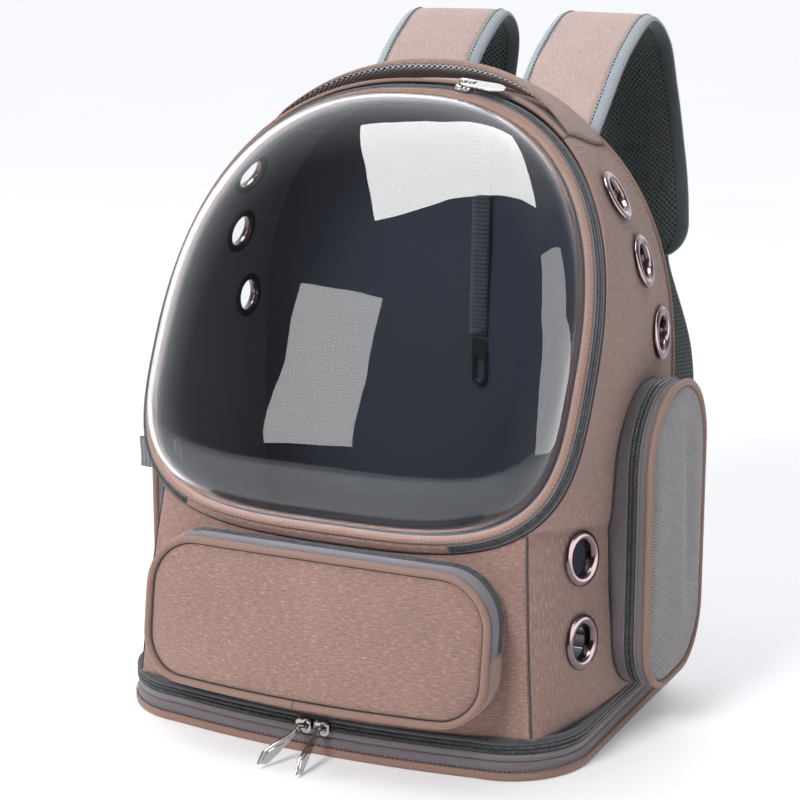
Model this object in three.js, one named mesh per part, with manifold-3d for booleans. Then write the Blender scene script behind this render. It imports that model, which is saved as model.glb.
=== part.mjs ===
// Bubble pet carrier backpack, in millimetres, +Z up.
// The front with the clear bubble faces -Y and the wearer's back lies against the +Y side.
// The origin is the centre of the base's underside. Right is +X, the viewer's right.
import * as THREE from 'three';
import { mergeVertices } from 'three/addons/utils/BufferGeometryUtils.js';
import Module from 'manifold-3d';

const wasm = await Module();
wasm.setup();

// Clearances and cloth
const GAP = 0.3;
const PANEL = 3;
const BACK_PAD = 4;
const POCKET_CLOTH = 2;
const ZIP_TAPE = 1.8;
const WEBBING = 2;

// Base: plan, tray, zip band
const BASE_HALF = 174;
const BASE_DEPTH = 243;
const BASE_FRONT = BASE_DEPTH / 2;
const BASE_BACK = BASE_DEPTH / 2;
const BASE_CROWN = 9.5;
const FRONT_CORNER = 59;
const BACK_CORNER = 24;
const BINDING = 1.5;
const BINDING_HEIGHT = 3.5;
const TRAY_HEIGHT = 13;
const ZIP_BAND_HEIGHT = 14.4;
const BODY_FOOT = TRAY_HEIGHT + ZIP_BAND_HEIGHT + 2 * GAP;

// Door rim: a flattened oval on a face that leans back and curves
const RIM_HALF = 159;
const RIM_MID = 260;
const RIM_RISE = 172.5;
const RIM_DROP = 108.5;
const RIM_TOP_POWER = 2.4;
const RIM_FOOT_POWER = 3.5;
const RIM_SET = 28.5;
const RIM_FOOT_Y = RIM_SET - BASE_FRONT;
const RIM_LEAN = 0.4;
const RIM_CURVE = 0.00034;

// Door parts round the rim
const PIPING = 3.2;
const SKIN_OUT = 9.3;
const SKIN_BACK = 6.5;
const BUBBLE_DEPTH = 46;
const BUBBLE_WALL = 2;
const BUBBLE_FOOT = 3;
const BUBBLE_POWER = 3;
const HINGE_RIGHT = 84;
const HINGE_LEFT = 112;
const DOOR_ZIP_EDGE = 1.1;
const DOOR_ZIP_SET = 2.5;
const DOOR_ZIP_STEP = 1.2;

// Body: lower front panel, back arch, side skin
const SEAM_FOOT = 150;
const SEAM_TOP = 138;
const FRONT_INSET = 2;
const FRONT_CROWN = 20.5;
const FRONT_BULGE = 2;
const BACK_STEP = 3.5;
const BACK_FACE = BASE_BACK - BACK_STEP;
const BACK_HALF = 167;
const BACK_FOOT_HALF = 171;
const SHOULDER_DROP = 30;
const SHOULDER = RIM_MID - SHOULDER_DROP;
const ARCH_TOP = 3;
const ARCH_END = 6;
const BACK_RISE = 202;
const BACK_POWER = 2.38;
const FACET = THREE.MathUtils.degToRad(31);
const SIDE_BULGE = 3;
const TOP_SAG = 4;
const TOP_SEAM = 2.56;

// Eyelets
const EYELET_RADIUS = 18.2;
const EYELET_BORE = 11.5;
const EYELET_LIFT = 1.8;
const EYELET_BARREL = 1.6;
const EYELET_SEAT = 0.8;
const EYELET_SIDES = 12;

// Carry handle over the top panel
const HANDLE_GAP = 10;
const HANDLE_PAD = 7.5;
const HANDLE_END = 2.5;
const HANDLE_SWELL = 1.6;
const HANDLE_EDGE = 0.06;
const HANDLE_EDGE_MID = 0.17;
const HANDLE_THIN = 0.15;

// Front pocket
const POCKET_HALF = 128;
const POCKET_LOW = 42;
const POCKET_HIGH = 140;
const POCKET_DEPTH = 28;
const POCKET_CORNER_LOW = 30;
const POCKET_CORNER_HIGH = 36;
const POCKET_EDGE = 5;
const POCKET_PIPING = 2.2;
const POCKET_ZIP_WIDTH = 9;
const ZIP_STATIONS = 13;
const PIPING_SET = 0.6;
const FACE_SHARE = 0.55;

// Side pockets
const SIDE_POCKET_FRONT = -3;
const SIDE_POCKET_BACK = 111;
const SIDE_POCKET_LOW = 29;
const SIDE_POCKET_HIGH = 241;
const SIDE_POCKET_OUT = 195;
const SIDE_POCKET_CORNER_LOW = 42;
const SIDE_POCKET_CORNER_HIGH = 52;
const SIDE_POCKET_BULGE = 4;
const GUSSET_FROM = 155;
const SIDE_ZIP_SET = 6;

// Loop of webbing that stands out of the left side
const LOOP_OUT = 192;
const LOOP_Y = -27;
const LOOP_LOW = 158;
const LOOP_HEIGHT = 22;
const LOOP_WIDE = 6;

// Shoulder straps and their webbing
const STRAP_WIDTH = 79;
const STRAP_PAD = 10;
const STRAP_SPACING = 58;
const STRAP_ROOT = 372;
const STRAP_RISE = 101;
const STRAP_DROP = 84;
const STRAP_REACH = 160;
const STRAP_SPLAY = 36;
const STRAP_YAW = THREE.MathUtils.degToRad(9);
const WEBBING_WIDTH = 40;
const WEBBING_FOOT_X = 140;
const WEBBING_FOOT_Z = 62;
const WEBBING_LAP = 0.07;
const TOOL_DEPTH = 40;
const TOOL_LAP = 0.004;
const TOOL_HALF = 300;
const TOOL_HEIGHT = 500;

// Tether inside the cabin
const TETHER_X = 17;
const TETHER_TOP = 398;
const TETHER_LENGTH = 152;
const TETHER_WIDTH = 14;
const CLIP_LENGTH = 36;
const CLIP_HALF = 6;
const CLIP_WIRE = 3;
const CLIP_THICK = 4;
const CLIP_EYE = 12;

// Zip sliders and pulls
const SLIDER_WIDTH = 11;
const SLIDER_LENGTH = 12;
const SLIDER_DEPTH = 4;
const SLIDER_APART = 0.8;
const CROWN_LENGTH = 9;
const CROWN_WIDTH = 2.4;
const CROWN_GAP = 3.4;
const BRIDGE = 1.2;
const EYE_OUTER = 3.5;
const EYE_HOLE = 2.2;
const PULL_LENGTH = 40;
const PULL_WIDTH = 12;
const RING_LENGTH = 32;
const PULL_THICK = 1.8;
const PULL_CLEAR = 0.6;
const PULL_NECK = 0.45;
const PULL_SHOULDER = 0.4;
const PULL_TAPER = 0.8;
const EYE_TURN = 0.3;
const PULL_LEAN = THREE.MathUtils.degToRad(64);
const PULL_YAW_LEFT = THREE.MathUtils.degToRad(-22);
const PULL_YAW_RIGHT = THREE.MathUtils.degToRad(3);
const DOOR_SLIDER_TURN = 0.2;

// Small steps: corners closer than this are one, a slope is taken over this share
const WELD = 1e-4;
const STEP = 0.01;

const V = (x, y, z) => new THREE.Vector3(x, y, z);
const mix = THREE.MathUtils.lerp;
const blend = (a, b, t) => a.clone().lerp(b, t);
const steps = (count, from = 0, to = 1) =>
  Array.from({ length: count + 1 }, (_, i) => mix(from, to, i / count));

// Closed bodies

function indexed(points, faces) {
  const geometry = new THREE.BufferGeometry();
  const places = points.flatMap((p) => [p.x, p.y, p.z]);
  geometry.setAttribute('position', new THREE.Float32BufferAttribute(places, 3));
  geometry.setIndex(faces);
  return facingOut(geometry);
}

function facingOut(geometry) {
  const place = geometry.getAttribute('position');
  const index = Array.from(geometry.index.array);
  const at = (i) => new THREE.Vector3().fromBufferAttribute(place, i);
  let volume = 0;
  for (let i = 0; i < index.length; i += 3) {
    volume += at(index[i]).dot(at(index[i + 1]).cross(at(index[i + 2])));
  }
  if (volume < 0) {
    for (let i = 0; i < index.length; i += 3) {
      [index[i + 1], index[i + 2]] = [index[i + 2], index[i + 1]];
    }
    geometry.setIndex(index);
  }
  return geometry;
}

// A body through rings of equal size, closed by flat ends or, when loop is true, end to end
function skin(rings, loop = false) {
  const size = rings[0].length;
  const faces = [];
  const quad = (a, b, c, d) => faces.push(a, b, c, a, c, d);
  const last = loop ? rings.length : rings.length - 1;
  for (let i = 0; i < last; i++) {
    const next = (i + 1) % rings.length;
    for (let j = 0; j < size; j++) {
      const k = (j + 1) % size;
      quad(i * size + j, next * size + j, next * size + k, i * size + k);
    }
  }
  const end = (rings.length - 1) * size;
  for (let j = 0; !loop && j < size / 2 - 1; j++) {
    const k = size - 1 - j;
    quad(j, j + 1, k - 1, k);
    quad(end + k, end + k - 1, end + j + 1, end + j);
  }
  return indexed(rings.flat(), faces);
}

// A body through rings that starts and ends in one point each
function bowl(start, rings, end) {
  const size = rings[0].length;
  const points = [...rings.flat(), start, end];
  const first = rings.length * size;
  const final = (rings.length - 1) * size;
  const faces = [];
  for (let j = 0; j < size; j++) {
    const k = (j + 1) % size;
    for (let i = 0; i < rings.length - 1; i++) {
      const [a, b, c, d] = [i * size + j, (i + 1) * size + j, (i + 1) * size + k, i * size + k];
      faces.push(a, b, c, a, c, d);
    }
    faces.push(first, j, k, first + 1, final + k, final + j);
  }
  return indexed(points, faces);
}

// A sheet with a thickness: outer(a, b) and inner(a, b) over two lists of parameters
function sheet(across, along, outer, inner) {
  return skin(along.map((b) => [
    ...across.map((a) => outer(a, b)),
    ...across.toReversed().map((a) => inner(a, b)),
  ]));
}

function extruded(outline, depth, hole) {
  const shape = new THREE.Shape(outline.map(([x, y]) => new THREE.Vector2(x, y)));
  if (hole) shape.holes.push(new THREE.Path(hole.map(([x, y]) => new THREE.Vector2(x, y))));
  return merged(new THREE.ExtrudeGeometry(shape, { depth, bevelEnabled: false, curveSegments: 8 }));
}

function merged(geometry) {
  geometry.deleteAttribute('normal');
  geometry.deleteAttribute('uv');
  return facingOut(mergeVertices(geometry, WELD));
}

function mirrored(geometry) {
  const copy = geometry.clone();
  copy.scale(-1, 1, 1);
  return facingOut(copy);
}

function solid(geometry) {
  return new wasm.Manifold(new wasm.Mesh({
    numProp: 3,
    vertProperties: new Float32Array(geometry.getAttribute('position').array),
    triVerts: new Uint32Array(geometry.index.array),
  }));
}

function cut(geometry, ...tools) {
  let body = solid(geometry);
  for (const tool of tools) body = body.subtract(solid(tool));
  const result = body.getMesh();
  const made = new THREE.BufferGeometry();
  made.setAttribute('position', new THREE.Float32BufferAttribute(result.vertProperties, 3));
  made.setIndex(Array.from(result.triVerts));
  return made;
}

function joined(...parts) {
  let body = solid(parts[0]);
  for (const part of parts.slice(1)) body = body.add(solid(part));
  const result = body.getMesh();
  const made = new THREE.BufferGeometry();
  made.setAttribute('position', new THREE.Float32BufferAttribute(result.vertProperties, 3));
  made.setIndex(Array.from(result.triVerts));
  return made;
}

// Places a geometry so that its own X, Y and Z run along three directions
function placed(geometry, origin, x, y, z) {
  const frame = new THREE.Matrix4().makeBasis(x, y, z).setPosition(origin);
  return geometry.applyMatrix4(frame);
}

// Materials

const LOOKS = {
  brown: ['#a07d70', 0.95, 0],
  grey: ['#8c878c', 0.9, 0],
  mesh: ['#4c5154', 0.95, 0],
  zip: ['#4b4d51', 0.7, 0],
  light: ['#a9b0b8', 0.9, 0],
  clear: ['#c8d2dc', 0.05, 0],
  gunmetal: ['#5a5356', 0.3, 1],
  chrome: ['#c9c8c6', 0.15, 1],
  black: ['#1c1c1e', 0.5, 0],
};

const carrier = new THREE.Group();

function add(name, geometry, look) {
  const [color, roughness, metalness] = LOOKS[look];
  const material = new THREE.MeshStandardMaterial({ color, roughness, metalness });
  if (look === 'clear') Object.assign(material, { transparent: true, opacity: 0.3 });
  const mesh = new THREE.Mesh(geometry, material);
  mesh.name = name;
  carrier.add(mesh);
}

// The outlines that the pieces share

function ovalPoint(angle, half, rise, power) {
  const [c, s] = [Math.cos(angle), Math.sin(angle)];
  const r = (Math.abs(c) ** power + Math.abs(s) ** power) ** (-1 / power);
  return [half * r * c, rise * r * s];
}

const rimFoot = RIM_MID - RIM_DROP;
const rimY = (z) => RIM_FOOT_Y + RIM_LEAN * (z - rimFoot) + RIM_CURVE * (z - rimFoot) ** 2;
const rimSlope = (z) => RIM_LEAN + 2 * RIM_CURVE * (z - rimFoot);

// A point of the door rim, moved outwards in the door's face and backwards along Y
function rim(angle, out = 0, back = 0) {
  const upper = Math.sin(angle) >= 0;
  const rise = (upper ? RIM_RISE : RIM_DROP) + out;
  const [x, z] = ovalPoint(angle, RIM_HALF + out, rise, upper ? RIM_TOP_POWER : RIM_FOOT_POWER);
  return V(x, rimY(RIM_MID + z) + back, RIM_MID + z);
}

const forward = (z) => V(0, -1, rimSlope(z)).normalize();

// A section round the rim: rows of outward and backward offsets
function rimSection(angle, rows) {
  const at = rim(angle);
  const out = rim(angle, 1).sub(at).normalize();
  const ahead = forward(at.z);
  return rows.map(([o, b]) => at.clone().addScaledVector(out, o).addScaledVector(ahead, -b));
}

// Height and depth of the front panel's top edge at a given x
const skinHalf = RIM_HALF + SKIN_OUT;
const frontTop = (x) => RIM_MID
  - (RIM_DROP + SKIN_OUT) * (1 - (Math.abs(x) / skinHalf) ** RIM_FOOT_POWER) ** (1 / RIM_FOOT_POWER);
const frontFootY = (x) => FRONT_INSET - BASE_FRONT + FRONT_CROWN * (x / SEAM_FOOT) ** 2;

function frontY(x, z) {
  const top = frontTop(x);
  const share = (z - BODY_FOOT) / (top - BODY_FOOT);
  const bulge = FRONT_BULGE * Math.sin(Math.PI * THREE.MathUtils.clamp(share, 0, 1));
  return mix(frontFootY(x), rimY(top) + SKIN_BACK, share) - bulge;
}

function frontPoint(across, up) {
  const x = across * mix(SEAM_FOOT, SEAM_TOP, up);
  const z = mix(BODY_FOOT, frontTop(x), up);
  return V(x, frontY(x, z), z);
}

// The side skin runs from the front edge to the back arch. Its first parameter goes up:
// 0 to 1 along the front seam, 1 to 2 up the rim's lower corner, 2 to 3 over the arch.
const cornerAngle = Math.atan2(
  (frontTop(SEAM_TOP) - RIM_MID) / (RIM_DROP + SKIN_OUT), SEAM_TOP / skinHalf);

function frontEdge(w) {
  if (w <= 1) return frontPoint(1, w).add(V(GAP, 0, 0));
  const angle = w <= 2 ? mix(cornerAngle, 0, w - 1) : (w - 2) * Math.PI / 2;
  return rim(angle, SKIN_OUT, SKIN_BACK);
}

function backEdge(w) {
  if (w <= 2) return V(mix(BACK_FOOT_HALF, BACK_HALF, w / 2), BACK_FACE, mix(BODY_FOOT, SHOULDER, w / 2));
  const [x, z] = ovalPoint((w - 2) * Math.PI / 2, BACK_HALF, BACK_RISE, BACK_POWER);
  return V(x, BACK_FACE, SHOULDER + z);
}

function outward(w) {
  if (w <= 2) return V(1, 0, 0);
  const edge = backEdge(w);
  const x = (Math.abs(edge.x) / BACK_HALF) ** (BACK_POWER - 1) / BACK_HALF;
  const z = (Math.max(edge.z - SHOULDER, 0) / BACK_RISE) ** (BACK_POWER - 1) / BACK_RISE;
  return V(x, 0, z).normalize();
}

function sidePoint(w, u) {
  if (w > ARCH_TOP) {
    const twin = sidePoint(ARCH_END - w, u);
    return V(-twin.x, twin.y, twin.z);
  }
  const [front, back, out] = [frontEdge(w), backEdge(w), outward(w)];
  const depth = back.y - front.y;
  const reach = out.dot(back.clone().sub(front)) + SIDE_BULGE;
  const ease = THREE.MathUtils.smoothstep(w, 1, 2);
  const bulge = mix(SIDE_BULGE, -TOP_SAG, THREE.MathUtils.smoothstep(w, 2, 3));
  const frontPull = [mix(reach / Math.tan(FACET), depth / 3, ease), mix(reach, bulge, ease)];
  const p1 = front.clone().addScaledVector(out, frontPull[1]).add(V(0, frontPull[0], 0));
  const p2 = back.clone().addScaledVector(out, bulge).add(V(0, -depth / 3, 0));
  return new THREE.CubicBezierCurve3(front, p1, p2, back).getPoint(u);
}

function sideNormal(w, u) {
  const up = sidePoint(Math.min(w + STEP, ARCH_END), u).sub(sidePoint(Math.max(w - STEP, 0), u));
  const along = sidePoint(w, Math.min(u + STEP, 1)).sub(sidePoint(w, Math.max(u - STEP, 0)));
  return along.cross(up).normalize();
}

// A point off the side skin, kept above the base and in front of the back panel
function sideOff(w, u, lift) {
  const at = sidePoint(w, u).addScaledVector(sideNormal(w, u), lift);
  return V(at.x, Math.min(at.y, BACK_FACE), Math.max(at.z, BODY_FOOT));
}

function frontNormal(across, up) {
  const along = frontPoint(across + STEP, up).sub(frontPoint(across - STEP, up));
  const [top, foot] = [Math.min(up + STEP, 1), Math.max(up - STEP, 0)];
  const high = frontPoint(across, top).sub(frontPoint(across, foot));
  return along.cross(high).normalize();
}

function frontOff(across, up, lift) {
  const at = frontPoint(across, up).addScaledVector(frontNormal(across, up), lift);
  return V(at.x, at.y, Math.max(at.z, BODY_FOOT));
}

// Base

function basePlan(inset) {
  const [half, front] = [BASE_HALF - inset, -BASE_FRONT + inset];
  const flat = BASE_HALF - FRONT_CORNER;
  const right = steps(4).slice(0, -1).map((s) => [s * flat, front + BASE_CROWN * s * s]);
  const arc = (count, cx, cy, radius, from, to) => steps(count, from, to)
    .map((a) => [cx + radius * Math.cos(a), cy + radius * Math.sin(a)]);
  const cornerY = -BASE_FRONT + BASE_CROWN + FRONT_CORNER;
  right.push(...arc(5, flat, cornerY, FRONT_CORNER - inset, -Math.PI / 2, 0));
  right.push(...arc(3, half - BACK_CORNER + inset, BASE_BACK - BACK_CORNER,
    BACK_CORNER - inset, 0, Math.PI / 2));
  const left = right.slice(1).toReversed().map(([x, y]) => [-x, y]);
  return [...right, ...left];
}

function band(outerInset, wall, low, high) {
  return extruded(basePlan(outerInset), high - low, basePlan(outerInset + wall)).translate(0, 0, low);
}

const trayInset = BINDING + GAP;
const tray = extruded(basePlan(trayInset), TRAY_HEIGHT);
const trayRoom = extruded(basePlan(trayInset + PANEL), TRAY_HEIGHT).translate(0, 0, PANEL);
add('base_tray', cut(tray, trayRoom), 'grey');
add('base_binding', band(0, BINDING, 0, BINDING_HEIGHT), 'brown');
const zipLow = TRAY_HEIGHT + GAP;
add('base_zip', band(trayInset, PANEL, zipLow, zipLow + ZIP_BAND_HEIGHT), 'zip');

// Side, top, front and back panels

const upStations = [...steps(3), ...steps(3, 1, 2).slice(1), ...steps(5, 2, TOP_SEAM).slice(1)];
const acrossStations = steps(7);

function sideSlab(stations, across, high, low) {
  return sheet(across, stations, (u, w) => sideOff(w, u, high), (u, w) => sideOff(w, u, low));
}

// Each eyelet by its share up the side skin, its share back and its piece's name
const EYELETS = [
  { place: 'top', w: 2.4, u: 0.36 },
  { place: 'middle', w: 2.26, u: 0.57 },
  { place: 'low', w: 2.11, u: 0.79 },
  { place: 'front_upper', w: 0.84, u: 0.26 },
  { place: 'front_lower', w: 0.4, u: 0.28 },
];

function eyeletAxes({ w, u }) {
  const z = sideNormal(w, u);
  const x = V(0, 0, 1).cross(z).normalize();
  return [sidePoint(w, u), x, z.clone().cross(x), z];
}

function disc(radius, reach) {
  return merged(new THREE.CylinderGeometry(radius, radius, 2 * reach, EYELET_SIDES)
    .rotateX(Math.PI / 2));
}

const eyeletHoles = EYELETS.map((row) =>
  placed(disc(EYELET_BORE + EYELET_BARREL + GAP, EYELET_RADIUS), ...eyeletAxes(row)));

const sideRight = cut(sideSlab(upStations, acrossStations, 0, -PANEL), ...eyeletHoles);
add('side_panel_right', sideRight, 'brown');
add('side_panel_left', mirrored(sideRight), 'brown');

const seamShare = GAP / (BACK_HALF + BACK_RISE);
const topFrom = TOP_SEAM + seamShare;
add('top_panel', sideSlab(steps(10, topFrom, 6 - topFrom), steps(5), 0, -PANEL), 'brown');

// The front panel's ends are mitred so that they clear the side panels' edges
const MITRE = 1.15 * PANEL;
const frontOuter = (p, q) => frontOff(p, q, 0);
const frontInner = (p, q) => frontOff(p * (1 - MITRE / SEAM_TOP), q, -PANEL);
add('front_panel', sheet(steps(12, -1, 1), steps(5), frontOuter, frontInner), 'brown');

const archHalf = [...steps(2, 0, 2), ...steps(12, 2, 3).slice(1)].map((w) => backEdge(w));
const archOutline = [
  ...archHalf.map((p) => [p.x, p.z]),
  ...archHalf.slice(0, -1).toReversed().map((p) => [-p.x, p.z]),
];
const backPlate = placed(extruded(archOutline, BACK_PAD),
  V(0, BACK_FACE + GAP + BACK_PAD, 0), V(1, 0, 0), V(0, 0, 1), V(0, -1, 0));
add('back_panel', backPlate, 'mesh');

// Eyelets: a flange outside, a barrel through the cloth and a washer inside, which sit
// as far out and in as the bent panel needs
function eyeletSeats(row) {
  const [centre, , , normal] = eyeletAxes(row);
  const perW = sidePoint(row.w + STEP, row.u).distanceTo(centre) / STEP;
  const perU = sidePoint(row.w, row.u + STEP).distanceTo(centre) / STEP;
  const heights = steps(8, 0, 2 * Math.PI).map((a) => sidePoint(
    row.w + EYELET_RADIUS * Math.sin(a) / perW,
    row.u + EYELET_RADIUS * Math.cos(a) / perU).sub(centre).dot(normal));
  return [Math.max(...heights, 0), Math.min(...heights, 0)];
}

function eyelet(row) {
  const [r, b] = [EYELET_RADIUS, EYELET_BORE];
  const [high, low] = eyeletSeats(row);
  const washer = low - PANEL - EYELET_SEAT;
  const flange = high + EYELET_SEAT;
  const profile = [
    [b, washer - EYELET_LIFT / 2], [r - 1, washer - EYELET_LIFT / 2], [r, washer],
    [b + EYELET_BARREL, washer], [b + EYELET_BARREL, flange],
    [r, flange], [(r + b) / 2, flange + EYELET_LIFT], [b, flange],
    [b, washer - EYELET_LIFT / 2],
  ].map(([x, y]) => new THREE.Vector2(x, y));
  return merged(new THREE.LatheGeometry(profile, EYELET_SIDES).rotateX(Math.PI / 2));
}

for (const row of EYELETS) {
  const right = placed(eyelet(row), ...eyeletAxes(row));
  add(`eyelet_right_${row.place}`, right, 'gunmetal');
  add(`eyelet_left_${row.place}`, mirrored(right), 'gunmetal');
}

// Door: piping, zip, cloth hinge and bubble

const circle = (radius, count, from = 0) =>
  steps(count, from, from + 2 * Math.PI).slice(0, -1)
    .map((a) => [radius * Math.cos(a), radius * Math.sin(a)]);

const rimAngles = steps(36, 0, 2 * Math.PI).slice(0, -1);
add('door_piping', skin(rimAngles.map((a) => rimSection(a, circle(PIPING, 6))), true), 'brown');

const zipSection = [
  [PIPING + GAP, -ZIP_TAPE / 3],
  [SKIN_OUT - DOOR_ZIP_EDGE, SKIN_BACK - DOOR_ZIP_SET],
  [SKIN_OUT - DOOR_ZIP_EDGE - DOOR_ZIP_STEP, SKIN_BACK - DOOR_ZIP_SET + DOOR_ZIP_STEP],
  [PIPING + GAP, ZIP_TAPE],
];
const rimAngleAt = (x) => Math.atan2(
  -((1 - (Math.abs(x) / RIM_HALF) ** RIM_FOOT_POWER) ** (1 / RIM_FOOT_POWER)), x / RIM_HALF);
const zipFrom = rimAngleAt(HINGE_RIGHT);
const zipTo = rimAngleAt(-HINGE_LEFT) + 2 * Math.PI;
const hingeShare = GAP / RIM_HALF;

// A band along the rim that shares the piping's stations between its two ends
function rimBand(from, to) {
  const turns = [...rimAngles.map((a) => a - 2 * Math.PI), ...rimAngles];
  const inside = turns.filter((a) => a > from + hingeShare && a < to - hingeShare);
  return skin([from, ...inside, to].map((a) => rimSection(a, zipSection)));
}

add('door_zip', rimBand(zipFrom, zipTo), 'zip');
add('door_hinge', rimBand(zipTo - 2 * Math.PI + hingeShare, zipFrom - hingeShare), 'brown');

function bubbleRing(turn, inset, depth) {
  const share = Math.max(Math.cos(turn), 0) ** (2 / BUBBLE_POWER);
  const lift = depth * Math.max(Math.sin(turn), 0) ** (2 / BUBBLE_POWER);
  return rimAngles.map((a) => {
    const edge = rim(a, -inset);
    const z = mix(RIM_MID, edge.z, share);
    return V(edge.x * share, rimY(z), z).addScaledVector(forward(z), lift);
  });
}

const bubbleInset = PIPING + 2 * GAP;
const turns = steps(6, 0, Math.PI / 2).slice(0, -1);
const crown = (depth) => V(0, rimY(RIM_MID), RIM_MID).addScaledVector(forward(RIM_MID), depth);
const footRing = (inset) => bubbleRing(0, inset, 0)
  .map((p) => p.addScaledVector(forward(p.z), -BUBBLE_FOOT));
const innerInset = bubbleInset + BUBBLE_WALL;
const bubble = bowl(crown(BUBBLE_DEPTH), [
  ...turns.toReversed().map((t) => bubbleRing(t, bubbleInset, BUBBLE_DEPTH)),
  footRing(bubbleInset),
  footRing(innerInset),
  ...turns.map((t) => bubbleRing(t, innerInset, BUBBLE_DEPTH - BUBBLE_WALL)),
], crown(BUBBLE_DEPTH - BUBBLE_WALL));
add('bubble', bubble, 'clear');

// Rounded outlines of the pockets

function pocketOutline(half, low, high, cornerLow, cornerHigh, inset = 0) {
  const corner = (cx, cy, radius, from) => steps(4, from, from + Math.PI / 2)
    .map((a) => [cx + (radius - inset) * Math.cos(a), cy + (radius - inset) * Math.sin(a)]);
  return [
    ...corner(half - cornerHigh, high - cornerHigh, cornerHigh, 0),
    ...corner(-half + cornerHigh, high - cornerHigh, cornerHigh, Math.PI / 2),
    ...corner(-half + cornerLow, low + cornerLow, cornerLow, Math.PI),
    ...corner(half - cornerLow, low + cornerLow, cornerLow, Math.PI * 1.5),
  ];
}

// Splits an outline's long edges, so that it can follow a curved panel
const split = (outline, count) => outline.flatMap(([x, y], i) => {
  const [nextX, nextY] = outline[(i + 1) % outline.length];
  const long = Math.abs(nextX - x) > POCKET_CORNER_HIGH;
  return steps(long ? count : 1).slice(0, -1).map((t) => [mix(x, nextX, t), mix(y, nextY, t)]);
});

// Front pocket: gusset and face in one cloth shell, open towards the front panel

const pocketLine = (inset) => split(pocketOutline(
  POCKET_HALF, POCKET_LOW, POCKET_HIGH, POCKET_CORNER_LOW, POCKET_CORNER_HIGH, inset), 5);
const pocketMid = (POCKET_LOW + POCKET_HIGH) / 2;

function pocketRing(inset, depth, share = 1) {
  return pocketLine(inset).map(([x, z]) => {
    const [px, pz] = [x * share, mix(pocketMid, z, share)];
    return V(px, frontY(px, pz) - depth, pz);
  });
}

const behind = -PANEL;
const pocketFace = (depth) => pocketRing(POCKET_EDGE, depth, FACE_SHARE);
const pocketShell = bowl(V(0, frontY(0, pocketMid) - POCKET_DEPTH, pocketMid), [
  pocketFace(POCKET_DEPTH),
  pocketRing(POCKET_EDGE, POCKET_DEPTH),
  pocketRing(0, POCKET_DEPTH - POCKET_EDGE),
  pocketRing(0, behind),
  pocketRing(POCKET_CLOTH, behind),
  pocketRing(POCKET_CLOTH, POCKET_DEPTH - POCKET_EDGE),
  pocketRing(POCKET_EDGE, POCKET_DEPTH - POCKET_CLOTH),
  pocketFace(POCKET_DEPTH - POCKET_CLOTH),
], V(0, frontY(0, pocketMid) - POCKET_DEPTH + POCKET_CLOTH, pocketMid));
const frontTool = sheet(steps(12, -1, 1), steps(5),
  (p, q) => frontOff(p, q, GAP), (p, q) => frontOff(p, q, -3 * PANEL));
add('front_pocket', cut(pocketShell, frontTool), 'brown');

function pocketSection([x, z], next, previous, depth, rows) {
  const tangent = V(next[0] - previous[0], 0, next[1] - previous[1]).normalize();
  const out = V(tangent.z, 0, -tangent.x);
  const at = V(x, frontY(x, z) - depth, z);
  return rows.map(([o, b]) => at.clone().addScaledVector(out, o).add(V(0, b, 0)));
}

const pipingLine = pocketLine(PIPING_SET);
const around = (line, i, depth, rows) => pocketSection(line[i], line[(i + 1) % line.length],
  line[(i + line.length - 1) % line.length], depth, rows);
add('front_pocket_piping', skin(pipingLine.map((_, i) =>
  around(pipingLine, i, POCKET_DEPTH - PIPING_SET, circle(POCKET_PIPING, 6))), true), 'brown');

// The pocket's zip lies on the gusset, from its right end over the top to the left shoulder
const zipLine = pocketLine(0);
const zipStart = POCKET_DEPTH - POCKET_EDGE - POCKET_PIPING - GAP;
const zipRows = [[GAP, 0], [GAP + ZIP_TAPE, 0], [GAP + ZIP_TAPE, POCKET_ZIP_WIDTH], [GAP, POCKET_ZIP_WIDTH]];
const zipPath = Array.from({ length: ZIP_STATIONS }, (_, i) => (zipLine.length - 1 + i) % zipLine.length);
add('front_pocket_zip', skin(zipPath.map((i) => around(zipLine, i, zipStart, zipRows))), 'zip');

// Side pockets: a gusset ring, a zip round it, a piping and a ribbed face

const sideMid = (SIDE_POCKET_FRONT + SIDE_POCKET_BACK) / 2;
const sideHalf = (SIDE_POCKET_BACK - SIDE_POCKET_FRONT) / 2;
const sideLine = (inset) => pocketOutline(sideHalf, SIDE_POCKET_LOW, SIDE_POCKET_HIGH,
  SIDE_POCKET_CORNER_LOW, SIDE_POCKET_CORNER_HIGH, inset);
const sideFrame = [V(0, 1, 0), V(0, 0, 1), V(1, 0, 0)];
const besideTool = sideSlab(upStations, [-TOOL_LAP, ...acrossStations], GAP, -TOOL_DEPTH);

function sidePlate(outline, low, high, hole) {
  return placed(extruded(outline, high - low, hole), V(low, sideMid, 0), ...sideFrame);
}

const faceLow = SIDE_POCKET_OUT - POCKET_CLOTH;
const gussetTop = faceLow - GAP;
const gussetPlate = sidePlate(sideLine(0), GUSSET_FROM, gussetTop, sideLine(POCKET_CLOTH));
const gusset = cut(gussetPlate, besideTool);

function sideFaceRing(share, x) {
  return sideLine(POCKET_PIPING + GAP).map(([y, z]) => V(
    x + SIDE_POCKET_BULGE * (1 - share * share),
    sideMid + y * share,
    mix((SIDE_POCKET_LOW + SIDE_POCKET_HIGH) / 2, z, share)));
}

const faceMid = (x) => V(x + SIDE_POCKET_BULGE, sideMid, (SIDE_POCKET_LOW + SIDE_POCKET_HIGH) / 2);
const sideFace = bowl(faceMid(SIDE_POCKET_OUT), [
  sideFaceRing(FACE_SHARE, SIDE_POCKET_OUT), sideFaceRing(1, SIDE_POCKET_OUT),
  sideFaceRing(1, faceLow), sideFaceRing(FACE_SHARE, faceLow),
], faceMid(faceLow));

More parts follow.
